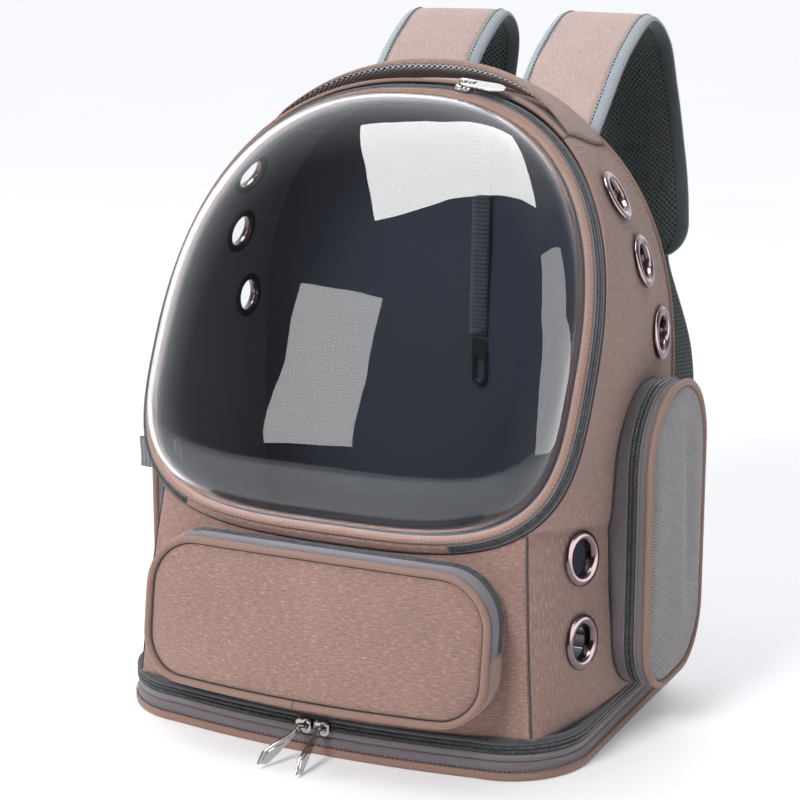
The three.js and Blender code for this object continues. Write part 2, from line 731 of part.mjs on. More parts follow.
function sideSection(line, i, x, rows) {
  const [next, previous] = [line[(i + 1) % line.length], line[(i + line.length - 1) % line.length]];
  const tangent = V(0, next[0] - previous[0], next[1] - previous[1]).normalize();
  const out = V(0, tangent.z, -tangent.y);
  const at = V(x, sideMid + line[i][0], line[i][1]);
  return rows.map(([o, b]) => at.clone().addScaledVector(out, o).add(V(b, 0, 0)));
}

const sideEdge = sideLine(0);
const sidePiping = skin(sideEdge.map((_, i) =>
  sideSection(sideEdge, i, SIDE_POCKET_OUT - POCKET_CLOTH + POCKET_PIPING, circle(POCKET_PIPING, 6))), true);
const sideZipX = SIDE_POCKET_OUT - POCKET_ZIP_WIDTH - SIDE_ZIP_SET;
// The zip goes from the middle of one upper corner to the middle of the lower one beside it
const sideZip = skin(sideEdge.map((_, i) => sideSection(sideEdge, i, sideZipX, zipRows)).slice(2, 14));

const SIDE_POCKET = [
  ['gusset', gusset, 'grey'], ['face', sideFace, 'grey'],
  ['piping', sidePiping, 'brown'], ['zip', sideZip, 'zip'],
];
for (const [piece, geometry, look] of SIDE_POCKET) {
  add(`side_pocket_right_${piece}`, geometry, look);
  add(`side_pocket_left_${piece}`, mirrored(geometry), look);
}

// Loop: a strip of webbing folded in two and sewn in at the left side

const loopRoom = LOOP_WIDE / 2 - WEBBING;
const loopOutline = [
  [GUSSET_FROM, -LOOP_WIDE / 2], [LOOP_OUT - WEBBING, -LOOP_WIDE / 2], [LOOP_OUT, -loopRoom],
  [LOOP_OUT, loopRoom], [LOOP_OUT - WEBBING, LOOP_WIDE / 2], [GUSSET_FROM, LOOP_WIDE / 2],
  [GUSSET_FROM, loopRoom], [LOOP_OUT - WEBBING, loopRoom], [LOOP_OUT - WEBBING, -loopRoom],
  [GUSSET_FROM, -loopRoom],
];
const loop = cut(extruded(loopOutline, LOOP_HEIGHT).translate(0, LOOP_Y, LOOP_LOW), besideTool);
add('side_loop', mirrored(loop), 'grey');

// Carry handle: a padded band over the top panel, thin where it is sewn in at the seams

function handlePoint(w, u, side) {
  const share = (w - TOP_SEAM) / (6 - 2 * TOP_SEAM);
  const swell = Math.sin(Math.PI * THREE.MathUtils.clamp(share, 0, 1)) ** HANDLE_SWELL;
  const edge = mix(HANDLE_EDGE, HANDLE_EDGE_MID, swell);
  const across = mix(edge, 1 - edge, u);
  const round = Math.max(1 - Math.abs(2 * u - 1) ** 3, HANDLE_THIN);
  const low = GAP + HANDLE_GAP * swell;
  const thick = mix(HANDLE_END, HANDLE_PAD, swell) * round;
  return sideOff(w, across, side > 0 ? low + thick : low);
}

const handleStations = steps(14, topFrom, 6 - topFrom);
add('carry_handle', sheet(steps(6), handleStations,
  (u, w) => handlePoint(w, u, 1), (u, w) => handlePoint(w, u, -1)), 'brown');

// Shoulder straps, hanging in a loop behind the back panel. Shares of the reach behind the
// panel, of the rise or the drop from the root, and of the splay at the lower end.
const STRAP_ROWS = [
  { back: 0, rise: -0.3, splay: 0 },
  { back: 0.01, rise: 0, splay: 0 },
  { back: 0.25, rise: 0.45, splay: 0.05 },
  { back: 0.52, rise: 0.82, splay: 0.08 },
  { back: 0.8, rise: 1, splay: 0.12 },
  { back: 0.97, rise: 0.84, splay: 0.2 },
  { back: 1, rise: 0.45, splay: 0.36 },
  { back: 0.96, rise: 0, splay: 0.6 },
  { back: 0.88, rise: -0.5, splay: 0.85 },
  { back: 0.8, rise: -1, splay: 1 },
];

const backOuter = BACK_FACE + GAP + BACK_PAD;
const strapPath = new THREE.CatmullRomCurve3(STRAP_ROWS.map(({ back, rise, splay }) => V(
  STRAP_SPACING + STRAP_SPLAY * splay,
  backOuter + GAP + STRAP_PAD / 2 + STRAP_REACH * back,
  STRAP_ROOT + rise * (rise > 0 ? STRAP_RISE : STRAP_DROP))), false, 'centripetal');

const FLAT_EDGE = [[-0.5, -0.5], [-0.5, 0.5], [0.5, 0.5], [0.5, -0.5]];
const SOFT_EDGE = [
  [-0.5, -0.2], [-0.5, 0.2], [-0.45, 0.5], [0.45, 0.5],
  [0.5, 0.2], [0.5, -0.2], [0.45, -0.5], [-0.45, -0.5],
];

// A band along a path, across(t) giving the direction of its width
function ribbon(path, count, width, thick, across, edge) {
  return skin(steps(count).map((t) => {
    const at = path.getPointAt(t);
    const tangent = path.getTangentAt(t);
    const face = tangent.clone().cross(across(t)).normalize();
    const side = face.clone().cross(tangent).normalize();
    return edge.map(([a, b]) => at.clone().addScaledVector(side, a * width)
      .addScaledVector(face, b * thick));
  }));
}

// What a band behind the back panel is cut with, so that it lies flat on the panel
const panelTool = placed(extruded(
  [[-TOOL_HALF, 0], [TOOL_HALF, 0], [TOOL_HALF, TOOL_HEIGHT], [-TOOL_HALF, TOOL_HEIGHT]], TOOL_DEPTH),
  V(0, backOuter + GAP, 0), V(1, 0, 0), V(0, 0, 1), V(0, -1, 0));
const strapAcross = V(Math.cos(STRAP_YAW), -Math.sin(STRAP_YAW), 0);
const strap = cut(ribbon(strapPath, 20, STRAP_WIDTH, STRAP_PAD, () => strapAcross, SOFT_EDGE), panelTool);
add('shoulder_strap_right', strap, 'brown');
add('shoulder_strap_left', mirrored(strap), 'brown');

// Webbing from the strap's end down to the lower corner of the back panel
const onStrap = STRAP_PAD / 2 + 2 * GAP + WEBBING / 2;
const onPanel = backOuter + GAP + WEBBING / 2;
const besideStrap = (t) => strapPath.getPointAt(t).addScaledVector(
  strapPath.getTangentAt(t).cross(strapAcross).normalize(), -onStrap);
const strapEnd = besideStrap(1);
const webbingFoot = V(WEBBING_FOOT_X, onPanel, WEBBING_FOOT_Z);
// Shares of the way from the strap's end to the foot
const WEBBING_ROWS = [
  { out: 0.55, in: 0.1, down: 0.3 },
  { out: 0.95, in: 0.5, down: 0.6 },
  { out: 1, in: 0.93, down: 0.82 },
  { out: 1, in: 1, down: 0.9 },
  { out: 1, in: 1, down: 1 },
];
const webbingPath = new THREE.CatmullRomCurve3([
  besideStrap(1 - WEBBING_LAP), besideStrap(1 - WEBBING_LAP / 2), strapEnd,
  ...WEBBING_ROWS.map((row) => V(mix(strapEnd.x, webbingFoot.x, row.out),
    mix(strapEnd.y, webbingFoot.y, row.in), mix(strapEnd.z, webbingFoot.z, row.down))),
], false, 'centripetal');
const webbingAcross = (t) => blend(strapAcross, V(1, 0, 0), THREE.MathUtils.smoothstep(t, 0.3, 1));
const webbing = cut(ribbon(webbingPath, 20, WEBBING_WIDTH, WEBBING, webbingAcross, FLAT_EDGE), panelTool);
add('strap_webbing_right', webbing, 'grey');
add('strap_webbing_left', mirrored(webbing), 'grey');

// Tether inside the cabin: a webbing sewn to the back panel, with a clip at its end

const tetherY = BACK_FACE - WEBBING;
const tether = merged(new THREE.BoxGeometry(TETHER_WIDTH, WEBBING, TETHER_LENGTH)
  .translate(TETHER_X, tetherY + WEBBING / 2, TETHER_TOP - TETHER_LENGTH / 2));
add('tether_webbing', tether, 'grey');
const clipTop = TETHER_TOP - TETHER_LENGTH - GAP;
const clipEnd = CLIP_HALF - WEBBING / 2;
const holeHalf = CLIP_HALF - CLIP_WIRE;
const holeEnd = holeHalf - GAP;
const clipOutline = pocketOutline(CLIP_HALF, -CLIP_LENGTH, 0, clipEnd, CLIP_THICK);
const clipHole = pocketOutline(holeHalf, CLIP_WIRE - CLIP_LENGTH, -CLIP_EYE, holeEnd, holeEnd);
const clip = placed(extruded(clipOutline, CLIP_THICK, clipHole),
  V(TETHER_X, BACK_FACE, clipTop), V(1, 0, 0), V(0, 0, 1), V(0, -1, 0));
add('tether_clip', clip, 'black');

// Zip sliders: a body with a crown over a gap, its own X along the zip and Z away from it

const block = (x, y, z, cx = 0, cy = 0, cz = 0) =>
  merged(new THREE.BoxGeometry(x, y, z).translate(cx, cy, cz));

function slider() {
  const legX = CROWN_LENGTH / 2 - BRIDGE / 2;
  const legZ = (SLIDER_DEPTH + CROWN_GAP + BRIDGE) / 2;
  const leg = (x) => block(BRIDGE, CROWN_WIDTH, SLIDER_DEPTH + CROWN_GAP + BRIDGE, x, 0, legZ);
  return joined(
    block(SLIDER_LENGTH, SLIDER_WIDTH, SLIDER_DEPTH, 0, 0, SLIDER_DEPTH / 2),
    leg(-legX), leg(legX),
    block(CROWN_LENGTH, CROWN_WIDTH, BRIDGE, 0, 0, SLIDER_DEPTH + CROWN_GAP + BRIDGE / 2));
}

// A pull that hangs from a round eye: its own -Y runs to the tip, its faces look along Z
function eyePull() {
  const half = PULL_WIDTH / 2;
  const narrow = half * PULL_NECK;
  const [neck, shoulder, tip] = [-EYE_OUTER, -PULL_LENGTH * PULL_SHOULDER, -PULL_LENGTH];
  const eye = steps(6, -EYE_TURN, Math.PI + EYE_TURN)
    .map((a) => [EYE_OUTER * Math.cos(a), EYE_OUTER * Math.sin(a)]);
  const outline = [
    ...eye, [-narrow, neck], [-half, shoulder], [-half, tip + half], [-narrow, tip],
    [narrow, tip], [half, tip + half], [half, shoulder], [narrow, neck],
  ];
  return extruded(outline, PULL_THICK, circle(EYE_HOLE, 10)).translate(0, 0, -PULL_THICK / 2);
}

// Base zip: two sliders meet at the front, each with a pull that rests on the floor
const sliderZ = zipLow + ZIP_BAND_HEIGHT / 2;
const crownOut = SLIDER_DEPTH + CROWN_GAP + BRIDGE / 2;
const sliderY = trayInset - BASE_FRONT - GAP;
const sliderX = SLIDER_LENGTH / 2 + SLIDER_APART;
const pullOrigin = (side) => V(side * sliderX, sliderY - crownOut, sliderZ);

for (const [side, name, yaw] of [[1, 'right', PULL_YAW_RIGHT], [-1, 'left', PULL_YAW_LEFT]]) {
  add(`base_slider_${name}`, placed(slider(), V(side * sliderX, sliderY, sliderZ),
    V(1, 0, 0), V(0, 0, 1), V(0, -1, 0)), 'chrome');
  const down = V(Math.sin(yaw), -Math.cos(yaw) * Math.sin(PULL_LEAN), -Math.cos(yaw) * Math.cos(PULL_LEAN));
  const face = V(1, 0, 0).addScaledVector(down, -down.x).normalize();
  const up = down.clone().negate();
  add(`base_pull_${name}`, placed(eyePull(), pullOrigin(side), up.clone().cross(face), up, face), 'chrome');
}

// Door zip: one slider near the top, its pull lying along the zip
const doorAngle = Math.PI / 2 - DOOR_SLIDER_TURN;
const [doorNear, doorFar] = [doorAngle + STEP, doorAngle - STEP].map((a) => rim(a));
const along = doorFar.sub(doorNear).normalize();
const [zipA, zipB] = rimSection(doorAngle, zipSection.slice(0, 2));
const crossZip = zipB.clone().sub(zipA).normalize();
const away = along.clone().cross(crossZip).normalize();
const sliderAxes = [along, away.clone().cross(along), away];
const doorSeat = zipA.add(zipB).multiplyScalar(0.5).addScaledVector(away, 3 * GAP);
add('door_slider', placed(slider(), doorSeat, ...sliderAxes), 'chrome');

// The pull's ring runs under the crown: its bar turns there, and its window clears the crown
const half = PULL_WIDTH / 2;
const barZ = SLIDER_DEPTH + CROWN_GAP / 2;
const windowHalf = CROWN_WIDTH / 2 + 2 * PULL_CLEAR;
const ringPull = extruded(
  [[-PULL_THICK / 2, -half * PULL_TAPER], [RING_LENGTH - half, -half], [RING_LENGTH, -half * PULL_NECK],
    [RING_LENGTH, half * PULL_NECK], [RING_LENGTH - half, half], [-PULL_THICK / 2, half * PULL_TAPER]],
  PULL_THICK,
  [[PULL_THICK / 2, -windowHalf], [CROWN_LENGTH, -windowHalf], [CROWN_LENGTH, windowHalf],
    [PULL_THICK / 2, windowHalf]]).translate(0, 0, -PULL_THICK / 2);
add('door_pull', placed(ringPull, doorSeat.clone().addScaledVector(away, barZ), ...sliderAxes), 'chrome');

export default carrier;
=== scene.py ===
"""Looks of the bubble pet carrier backpack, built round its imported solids.

Sizes are in millimetres and become metres where a mesh is made. The studio is in metres."""

import math

import bmesh
import bpy
import numpy as np
from mathutils import Matrix, Vector, noise
from mathutils.bvhtree import BVHTree
from mathutils.interpolate import poly_3d_calc


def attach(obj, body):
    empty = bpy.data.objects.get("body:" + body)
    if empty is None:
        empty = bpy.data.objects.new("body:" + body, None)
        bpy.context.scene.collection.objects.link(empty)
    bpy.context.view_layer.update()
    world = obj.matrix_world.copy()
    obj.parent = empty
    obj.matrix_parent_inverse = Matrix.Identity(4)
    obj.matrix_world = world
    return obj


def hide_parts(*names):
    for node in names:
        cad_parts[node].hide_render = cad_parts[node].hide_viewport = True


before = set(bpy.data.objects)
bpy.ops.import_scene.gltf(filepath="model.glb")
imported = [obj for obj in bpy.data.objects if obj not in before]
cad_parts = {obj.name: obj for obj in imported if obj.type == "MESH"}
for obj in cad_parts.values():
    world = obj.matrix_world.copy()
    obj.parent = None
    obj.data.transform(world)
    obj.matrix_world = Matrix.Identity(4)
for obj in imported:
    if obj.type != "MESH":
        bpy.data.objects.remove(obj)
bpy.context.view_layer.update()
MM = 0.001

# Sizes shared with the solids
GAP = 0.3
BASE_HALF, BASE_FRONT, BASE_BACK, BASE_CROWN = 174.0, 121.5, 121.5, 9.5
FRONT_CORNER, BACK_CORNER = 59.0, 24.0
BODY_FOOT = 28.0
RIM_HALF, RIM_MID, RIM_RISE, RIM_DROP = 159.0, 260.0, 172.5, 108.5
RIM_TOP_POWER, RIM_FOOT_POWER = 2.4, 3.5
RIM_FOOT_Y = 28.5 - BASE_FRONT
RIM_LEAN, RIM_CURVE = 0.4, 0.00034
PIPING, SKIN_OUT, SKIN_BACK = 3.2, 9.3, 6.5
BUBBLE_DEPTH, BUBBLE_POWER, BUBBLE_WALL = 46.0, 3.0, 2.0
HINGE_RIGHT, HINGE_LEFT = 84.0, 112.0
SEAM_FOOT, SEAM_TOP, FRONT_INSET, FRONT_CROWN, FRONT_BULGE = 150.0, 138.0, 2.0, 20.5, 2.0
BACK_FACE = BASE_BACK - 3.5
BACK_HALF, BACK_FOOT_HALF = 167.0, 171.0
SHOULDER = RIM_MID - 30.0
BACK_RISE, BACK_POWER = 202.0, 2.38
FACET, SIDE_BULGE, TOP_SAG, TOP_SEAM = math.radians(31), 3.0, 4.0, 2.56
POCKET_HALF, POCKET_LOW, POCKET_HIGH, POCKET_DEPTH = 128.0, 42.0, 140.0, 28.0
POCKET_CORNER_LOW, POCKET_CORNER_HIGH = 30.0, 36.0
SIDE_FRONT, SIDE_BACK, SIDE_LOW, SIDE_HIGH, SIDE_OUT = -3.0, 111.0, 29.0, 241.0, 195.0
SIDE_CORNER_LOW, SIDE_CORNER_HIGH = 42.0, 52.0
STRAP_WIDTH, STRAP_PAD, STRAP_SPACING, STRAP_ROOT = 79.0, 10.0, 58.0, 372.0
STRAP_RISE, STRAP_DROP, STRAP_REACH, STRAP_SPLAY = 101.0, 84.0, 160.0, 36.0
STRAP_YAW = math.radians(9)
BACK_OUTER = BACK_FACE + 4.3
# Each eyelet's place: round the side's edge from foot to crown, then from front to back
EYELETS = [("top", 2.4, 0.36), ("middle", 2.26, 0.57), ("low", 2.11, 0.79),
           ("front_upper", 0.84, 0.26), ("front_lower", 0.4, 0.28)]


# Small maths
def vec(x, y, z):
    return np.stack(np.broadcast_arrays(np.asarray(x, float), np.asarray(y, float), np.asarray(z, float)), -1)


def unit(a):
    return a / np.maximum(np.linalg.norm(a, axis=-1, keepdims=True), 1e-12)


def mix(a, b, t):
    return a + (b - a) * t


def smooth(x, a, b):
    t = np.clip((np.asarray(x, float) - a) / (b - a), 0, 1)
    return t * t * (3 - 2 * t)


def dot(a, b):
    return (a * b).sum(-1, keepdims=True)


# The surfaces of the solids
def oval(angle, half, rise, power):
    c, s = np.cos(angle), np.sin(angle)
    r = (np.abs(c) ** power + np.abs(s) ** power) ** (-1 / power)
    return half * r * c, rise * r * s


RIM_BASE = RIM_MID - RIM_DROP


def rim_y(z):
    return RIM_FOOT_Y + RIM_LEAN * (z - RIM_BASE) + RIM_CURVE * (z - RIM_BASE) ** 2


def rim(angle, out=0.0, back=0.0):
    angle = np.asarray(angle, float)
    upper = np.sin(angle) >= 0
    x1, z1 = oval(angle, RIM_HALF + out, RIM_RISE + out, RIM_TOP_POWER)
    x2, z2 = oval(angle, RIM_HALF + out, RIM_DROP + out, RIM_FOOT_POWER)
    x, z = np.where(upper, x1, x2), RIM_MID + np.where(upper, z1, z2)
    return vec(x, rim_y(z) + back, z)


def forward(z):
    return unit(vec(0, -1, RIM_LEAN + 2 * RIM_CURVE * (z - RIM_BASE)))


def rim_frame(angle):
    at = rim(angle)
    return at, unit(rim(angle, 1.0) - at), forward(at[..., 2])


def rim_off(angle, out, back):
    at, o, f = rim_frame(angle)
    return at + o * np.asarray(out)[..., None] - f * np.asarray(back)[..., None]


SKIN_HALF = RIM_HALF + SKIN_OUT


def front_top(x):
    share = np.clip(np.abs(x) / SKIN_HALF, 0, 1)
    return RIM_MID - (RIM_DROP + SKIN_OUT) * (1 - share ** RIM_FOOT_POWER) ** (1 / RIM_FOOT_POWER)


def front_y(x, z):
    top = front_top(x)
    share = (z - BODY_FOOT) / (top - BODY_FOOT)
    bulge = FRONT_BULGE * np.sin(np.pi * np.clip(share, 0, 1))
    foot = FRONT_INSET - BASE_FRONT + FRONT_CROWN * (x / SEAM_FOOT) ** 2
    return mix(foot, rim_y(top) + SKIN_BACK, share) - bulge


def front_point(across, up):
    x = across * mix(SEAM_FOOT, SEAM_TOP, up)
    z = mix(BODY_FOOT, front_top(x), up)
    return vec(x, front_y(x, z), z)


CORNER = math.atan2((front_top(SEAM_TOP) - RIM_MID) / (RIM_DROP + SKIN_OUT), SEAM_TOP / SKIN_HALF)


def front_edge(w):
    seam = front_point(1.0, np.clip(w, 0, 1)) + np.array([GAP, 0, 0])
    angle = np.where(w <= 2, mix(CORNER, 0, w - 1), (w - 2) * np.pi / 2)
    return np.where((w <= 1)[..., None], seam, rim(angle, SKIN_OUT, SKIN_BACK))


def back_edge(w):
    low = vec(mix(BACK_FOOT_HALF, BACK_HALF, w / 2), BACK_FACE, mix(BODY_FOOT, SHOULDER, w / 2))
    x, z = oval((w - 2) * np.pi / 2, BACK_HALF, BACK_RISE, BACK_POWER)
    return np.where((w <= 2)[..., None], low, vec(x, BACK_FACE, SHOULDER + z))


def outward(w):
    edge = back_edge(w)
    x = (np.abs(edge[..., 0]) / BACK_HALF) ** (BACK_POWER - 1) / BACK_HALF
    z = (np.maximum(edge[..., 2] - SHOULDER, 0) / BACK_RISE) ** (BACK_POWER - 1) / BACK_RISE
    return np.where((w <= 2)[..., None], vec(np.ones_like(w), 0, 0), unit(vec(x, 0, z)))


def side_point(w, u):
    w, u = np.broadcast_arrays(np.asarray(w, float), np.asarray(u, float))
    twin = w > 3
    w = np.where(twin, 6 - w, w)
    front, back, out = front_edge(w), back_edge(w), outward(w)
    depth = back[..., 1:2] - front[..., 1:2]
    reach = dot(out, back - front) + SIDE_BULGE
    ease = smooth(w, 1, 2)[..., None]
    bulge = mix(SIDE_BULGE, -TOP_SAG, smooth(w, 2, 3))[..., None]
    pull_back, pull_out = mix(reach / math.tan(FACET), depth / 3, ease), mix(reach, bulge, ease)
    y = np.array([0.0, 1.0, 0.0])
    p1, p2 = front + out * pull_out + y * pull_back, back + out * bulge - y * depth / 3
    t = u[..., None]
    at = (1 - t) ** 3 * front + 3 * (1 - t) ** 2 * t * p1 + 3 * (1 - t) * t * t * p2 + t ** 3 * back
    at[..., 0] = np.where(twin, -at[..., 0], at[..., 0])
    return at


def side_normal(w, u, d=0.01):
    up = side_point(np.minimum(w + d, 6), u) - side_point(np.maximum(w - d, 0), u)
    along = side_point(w, np.minimum(u + d, 1)) - side_point(w, np.maximum(u - d, 0))
    return unit(np.cross(along, up))


def side_off(w, u, lift):
    w, u = np.broadcast_arrays(np.asarray(w, float), np.asarray(u, float))
    at = side_point(w, u) + side_normal(w, u) * np.asarray(lift, float)[..., None]
    at[..., 1] = np.minimum(at[..., 1], BACK_FACE)
    at[..., 2] = np.maximum(at[..., 2], BODY_FOOT)
    return at


def front_normal(across, up, d=0.01):
    along = front_point(across + d, up) - front_point(across - d, up)
    high = front_point(across, np.minimum(up + d, 1)) - front_point(across, np.maximum(up - d, 0))
    return unit(np.cross(along, high))


def front_off(across, up, lift):
    across, up = np.broadcast_arrays(np.asarray(across, float), np.asarray(up, float))
    at = front_point(across, up) + front_normal(across, up) * np.asarray(lift, float)[..., None]
    at[..., 2] = np.maximum(at[..., 2], BODY_FOOT)
    return at


# Making meshes
def lengths(P):
    """Mean arc lengths in metres along both directions of a grid of points."""
    a = np.linalg.norm(np.diff(P, axis=0), axis=-1).mean(1)
    b = np.linalg.norm(np.diff(P, axis=1), axis=-1).mean(0)
    return np.concatenate([[0], np.cumsum(a)]) * MM, np.concatenate([[0], np.cumsum(b)]) * MM


def make(name, points, faces, uvs, mats, indices=None):
    """A mesh object from points in mm, faces and one UV for each face corner in metres."""
    mesh = bpy.data.meshes.new(name)
    mesh.from_pydata((np.asarray(points) * MM).tolist(), [], [list(map(int, f)) for f in faces])
    layer = mesh.uv_layers.new(name="UVMap")
    layer.data.foreach_set("uv", np.asarray(uvs, np.float32).ravel())
    for m in mats if isinstance(mats, (list, tuple)) else [mats]:
        mesh.materials.append(m)
    if indices is not None:
        mesh.polygons.foreach_set("material_index", np.asarray(indices, np.int32))
    mesh.polygons.foreach_set("use_smooth", np.ones(len(mesh.polygons), bool))
    mesh.update()
    obj = bpy.data.objects.new(name, mesh)
    bpy.context.scene.collection.objects.link(obj)
    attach(obj, "carrier")
    return obj


def grid_faces(n, m, wrap_a, wrap_b):
    """The faces of a grid of points, and the grid places of each face's corners."""
    i, j = np.meshgrid(np.arange(n if wrap_a else n - 1), np.arange(m if wrap_b else m - 1), indexing="ij")
    i, j = i.ravel(), j.ravel()
    corners = [(i, j), (i + 1, j), (i + 1, j + 1), (i, j + 1)]
    faces = np.stack([(a % n) * m + (b % m) for a, b in corners], -1)
    return faces, np.stack([np.stack([a, b], -1) for a, b in corners], 1)


def grid_uv(P, cells, wrap_a, wrap_b, turn):
    """UVs in metres, so that a weave has the same size on every piece."""
    Q = np.concatenate([P, P[:1]], 0) if wrap_a else P
    Q = np.concatenate([Q, Q[:, :1]], 1) if wrap_b else Q
    a, b = lengths(Q)
    ua, ub = a[cells[..., 0]], b[cells[..., 1]]
    return np.stack([ua, ub] if turn else [ub, ua], -1)


def surface(name, P, mat, wrap=(False, False), turn=False, caps=False, pick=None):
    """One skin through a grid of points, with flat ends where caps is set.

    turn runs the UVs along the grid's first direction, and pick gives each face its material."""
    P = np.asarray(P, float)
    n, m = P.shape[:2]
    faces, cells = grid_faces(n, m, *wrap)
    uv = grid_uv(P, cells, *wrap, turn)
    index = None if pick is None else list(pick(cells[:, 0, 0], cells[:, 0, 1]))
    face_list, uv_list = faces.tolist(), uv.reshape(-1, 2)
    if caps:
        face_list += [list(range(m))[::-1], list(range((n - 1) * m, n * m))]
        uv_list = np.concatenate([uv_list, np.zeros((2 * m, 2))])
        index = None if index is None else index + [0, 0]
    return outward_facing(make(name, P.reshape(-1, 3), face_list, uv_list, mat, index))


def shell(name, outer, inner, mats, wrap_b=False, turn=False):
    """A closed cloth shell: outer skin in mats[0], inner skin in mats[1]."""
    outer, inner = np.asarray(outer, float), np.asarray(inner, float)
    n, m = outer.shape[:2]
    faces, cells = grid_faces(n, m, False, wrap_b)
    uv = grid_uv(outer, cells, False, wrap_b, turn)
    size = n * m
    all_faces = faces.tolist() + (faces[:, ::-1] + size).tolist()
    all_uv = [uv.reshape(-1, 2), uv[:, ::-1].reshape(-1, 2)]
    index = [0] * len(faces) + [1] * len(faces)
    wide = m if wrap_b else m - 1
    edges = [(row * m + j, row * m + (j + 1) % m) for row in (0, n - 1) for j in range(wide)]
    if not wrap_b:
        edges += [(i * m + col, (i + 1) * m + col) for col in (0, m - 1) for i in range(n - 1)]
    for a, b in edges:
        all_faces.append([a, b, b + size, a + size])
        index.append(0)
    all_uv.append(np.zeros((4 * len(edges), 2)))
    points = np.concatenate([outer.reshape(-1, 3), inner.reshape(-1, 3)])
    return outward_facing(make(name, points, all_faces, np.concatenate(all_uv), mats, index))


def outward_facing(obj):
    bm = bmesh.new()
    bm.from_mesh(obj.data)
    bmesh.ops.recalc_face_normals(bm, faces=bm.faces)
    bm.to_mesh(obj.data)
    bm.free()
    return obj


def planar_uv(obj, a, b):
    """UVs straight from two of the coordinates, so that a pattern runs across the whole face."""
    layer, points = obj.data.uv_layers["UVMap"].data, obj.data.vertices
    for loop in obj.data.loops:
        co = points[loop.vertex_index].co
        layer[loop.index].uv = (co[a], co[b])


def sharp(obj, degrees):
    """Marks the edges that turn by more than an angle, so that smooth shading stops there."""
    bm = bmesh.new()
    bm.from_mesh(obj.data)
    for e in bm.edges:
        if len(e.link_faces) == 2 and e.calc_face_angle(0) > math.radians(degrees):
            e.smooth = False
    bm.to_mesh(obj.data)
    bm.free()
    return obj


def tube(name, at, side, up, rows, mat, loop=True, turn=True, pick=None):
    """A bar along points at, its section given as rows of (across, up) offsets in mm."""
    across, high = np.array(rows, float).T[:, None, :, None]
    P = at[:, None] + side[:, None] * across + up[:, None] * high
    return surface(name, P, mat, (loop, True), turn, not loop, pick)


def circle(radius, count):
    turns = [2 * math.pi * k / count for k in range(count)]
    return [(radius * math.cos(a), radius * math.sin(a)) for a in turns]


def resample(at, step, loop, *others):
    """Points every step mm along a polyline, with other rows carried along."""
    at = np.asarray(at, float)
    rows = [at, *[np.asarray(o, float) for o in others]]
    if loop:
        rows = [np.concatenate([r, r[:1]]) for r in rows]
    s = np.concatenate([[0], np.cumsum(np.linalg.norm(np.diff(rows[0], axis=0), axis=-1))])
    count = max(2, int(round(s[-1] / step)))
    t = np.linspace(0, s[-1], count, endpoint=False) if loop else np.linspace(0, s[-1], count)
    return [np.stack([np.interp(t, s, r[:, k]) for k in range(3)], -1) for r in rows]


def many(name, template, faces, at, x, y, z, mat):
    """One mesh of many small copies of a template, each in its own frame."""
    a, b, c = np.asarray(template, float).T[:, None, :, None]
    P = at[:, None] + x[:, None] * a + y[:, None] * b + z[:, None] * c
    count, size = P.shape[:2]
    all_faces = [[i + k * size for i in f] for k in range(count) for f in faces]
    corners = sum(len(f) for f in faces) * count
    return make(name, P.reshape(-1, 3), all_faces, np.zeros((corners, 2)), mat)


TOOTH_PITCH = 1.5
BLOCK_FACES = [[0, 3, 2, 1], [4, 5, 6, 7], [0, 1, 5, 4], [1, 2, 6, 5], [2, 3, 7, 6], [3, 0, 4, 7]]


def tooth(length, width, height):
    a, b = length / 2, length / 2 * 0.6
    low, high = width * 0.25, width * 0.75
    return [(-a, 0.15, 0), (a, 0.15, 0), (a, width, 0), (-a, width, 0),
            (-b, low, height), (b, low, height), (b, high, height), (-b, high, height)]


STITCH_FACES = [[0, 1, 2, 3], [0, 4, 5, 1], [1, 5, 6, 2], [2, 6, 7, 3], [3, 7, 4, 0], [7, 6, 5, 4]]


def stitches(name, at, up, mat, pitch=3.4, length=2.3, thick=0.42, loop=False):
    """A row of sewn stitches along a line, lying half in the cloth."""
    p, n = resample(at, pitch, loop, up)
    ahead = unit(np.roll(p, -1, 0) - p) if loop else unit(np.gradient(p, axis=0))
    if loop:
        p, n, ahead = p[:-1], n[:-1], ahead[:-1]
    n = unit(n - ahead * dot(n, ahead))
    side = np.cross(ahead, n)
    h, r = length / 2, thick
    box = [(-h, -r, -r * 0.4), (h, -r, -r * 0.4), (h, r, -r * 0.4), (-h, r, -r * 0.4),
           (-h * 0.5, -r * 0.5, r), (h * 0.5, -r * 0.5, r), (h * 0.5, r * 0.5, r), (-h * 0.5, r * 0.5, r)]
    return many(name, box, STITCH_FACES, p, ahead, side, n, mat)


def zip_chain(name, at, side, up, half, loop, tape, wide=2.6, low=None):
    """A zip: a woven tape on each side of two rows of coil teeth."""
    low = low or half
    rows = [(-low, -0.5), (-low, 0.4), (-wide - 0.5, 0.55), (-wide - 0.3, 0.15), (0, 0.0),
            (wide + 0.3, 0.15), (wide + 0.5, 0.55), (half, 0.4), (half, -0.5)]
    band = tube(name + "_tape", at, side, up, rows, [tape, DARK_TAPE], loop,
                pick=lambda i, j: np.where((j >= 2) & (j <= 5), 1, 0))
    p, s, n = resample(at, TOOTH_PITCH, loop, side, up)
    ahead = unit(np.roll(p, -1, 0) - p) if loop else unit(np.gradient(p, axis=0))
    s, n = unit(s - ahead * dot(s, ahead)), unit(n)
    block = tooth(TOOTH_PITCH * 0.72, wide, 1.15)
    seat = p + n * 0.05
    return (band, many(name + "_teeth", block, BLOCK_FACES, seat, ahead, s, n, COIL),
            many(name + "_teeth_b", block, BLOCK_FACES, seat + ahead * TOOTH_PITCH / 2, -ahead, -s, n, COIL))


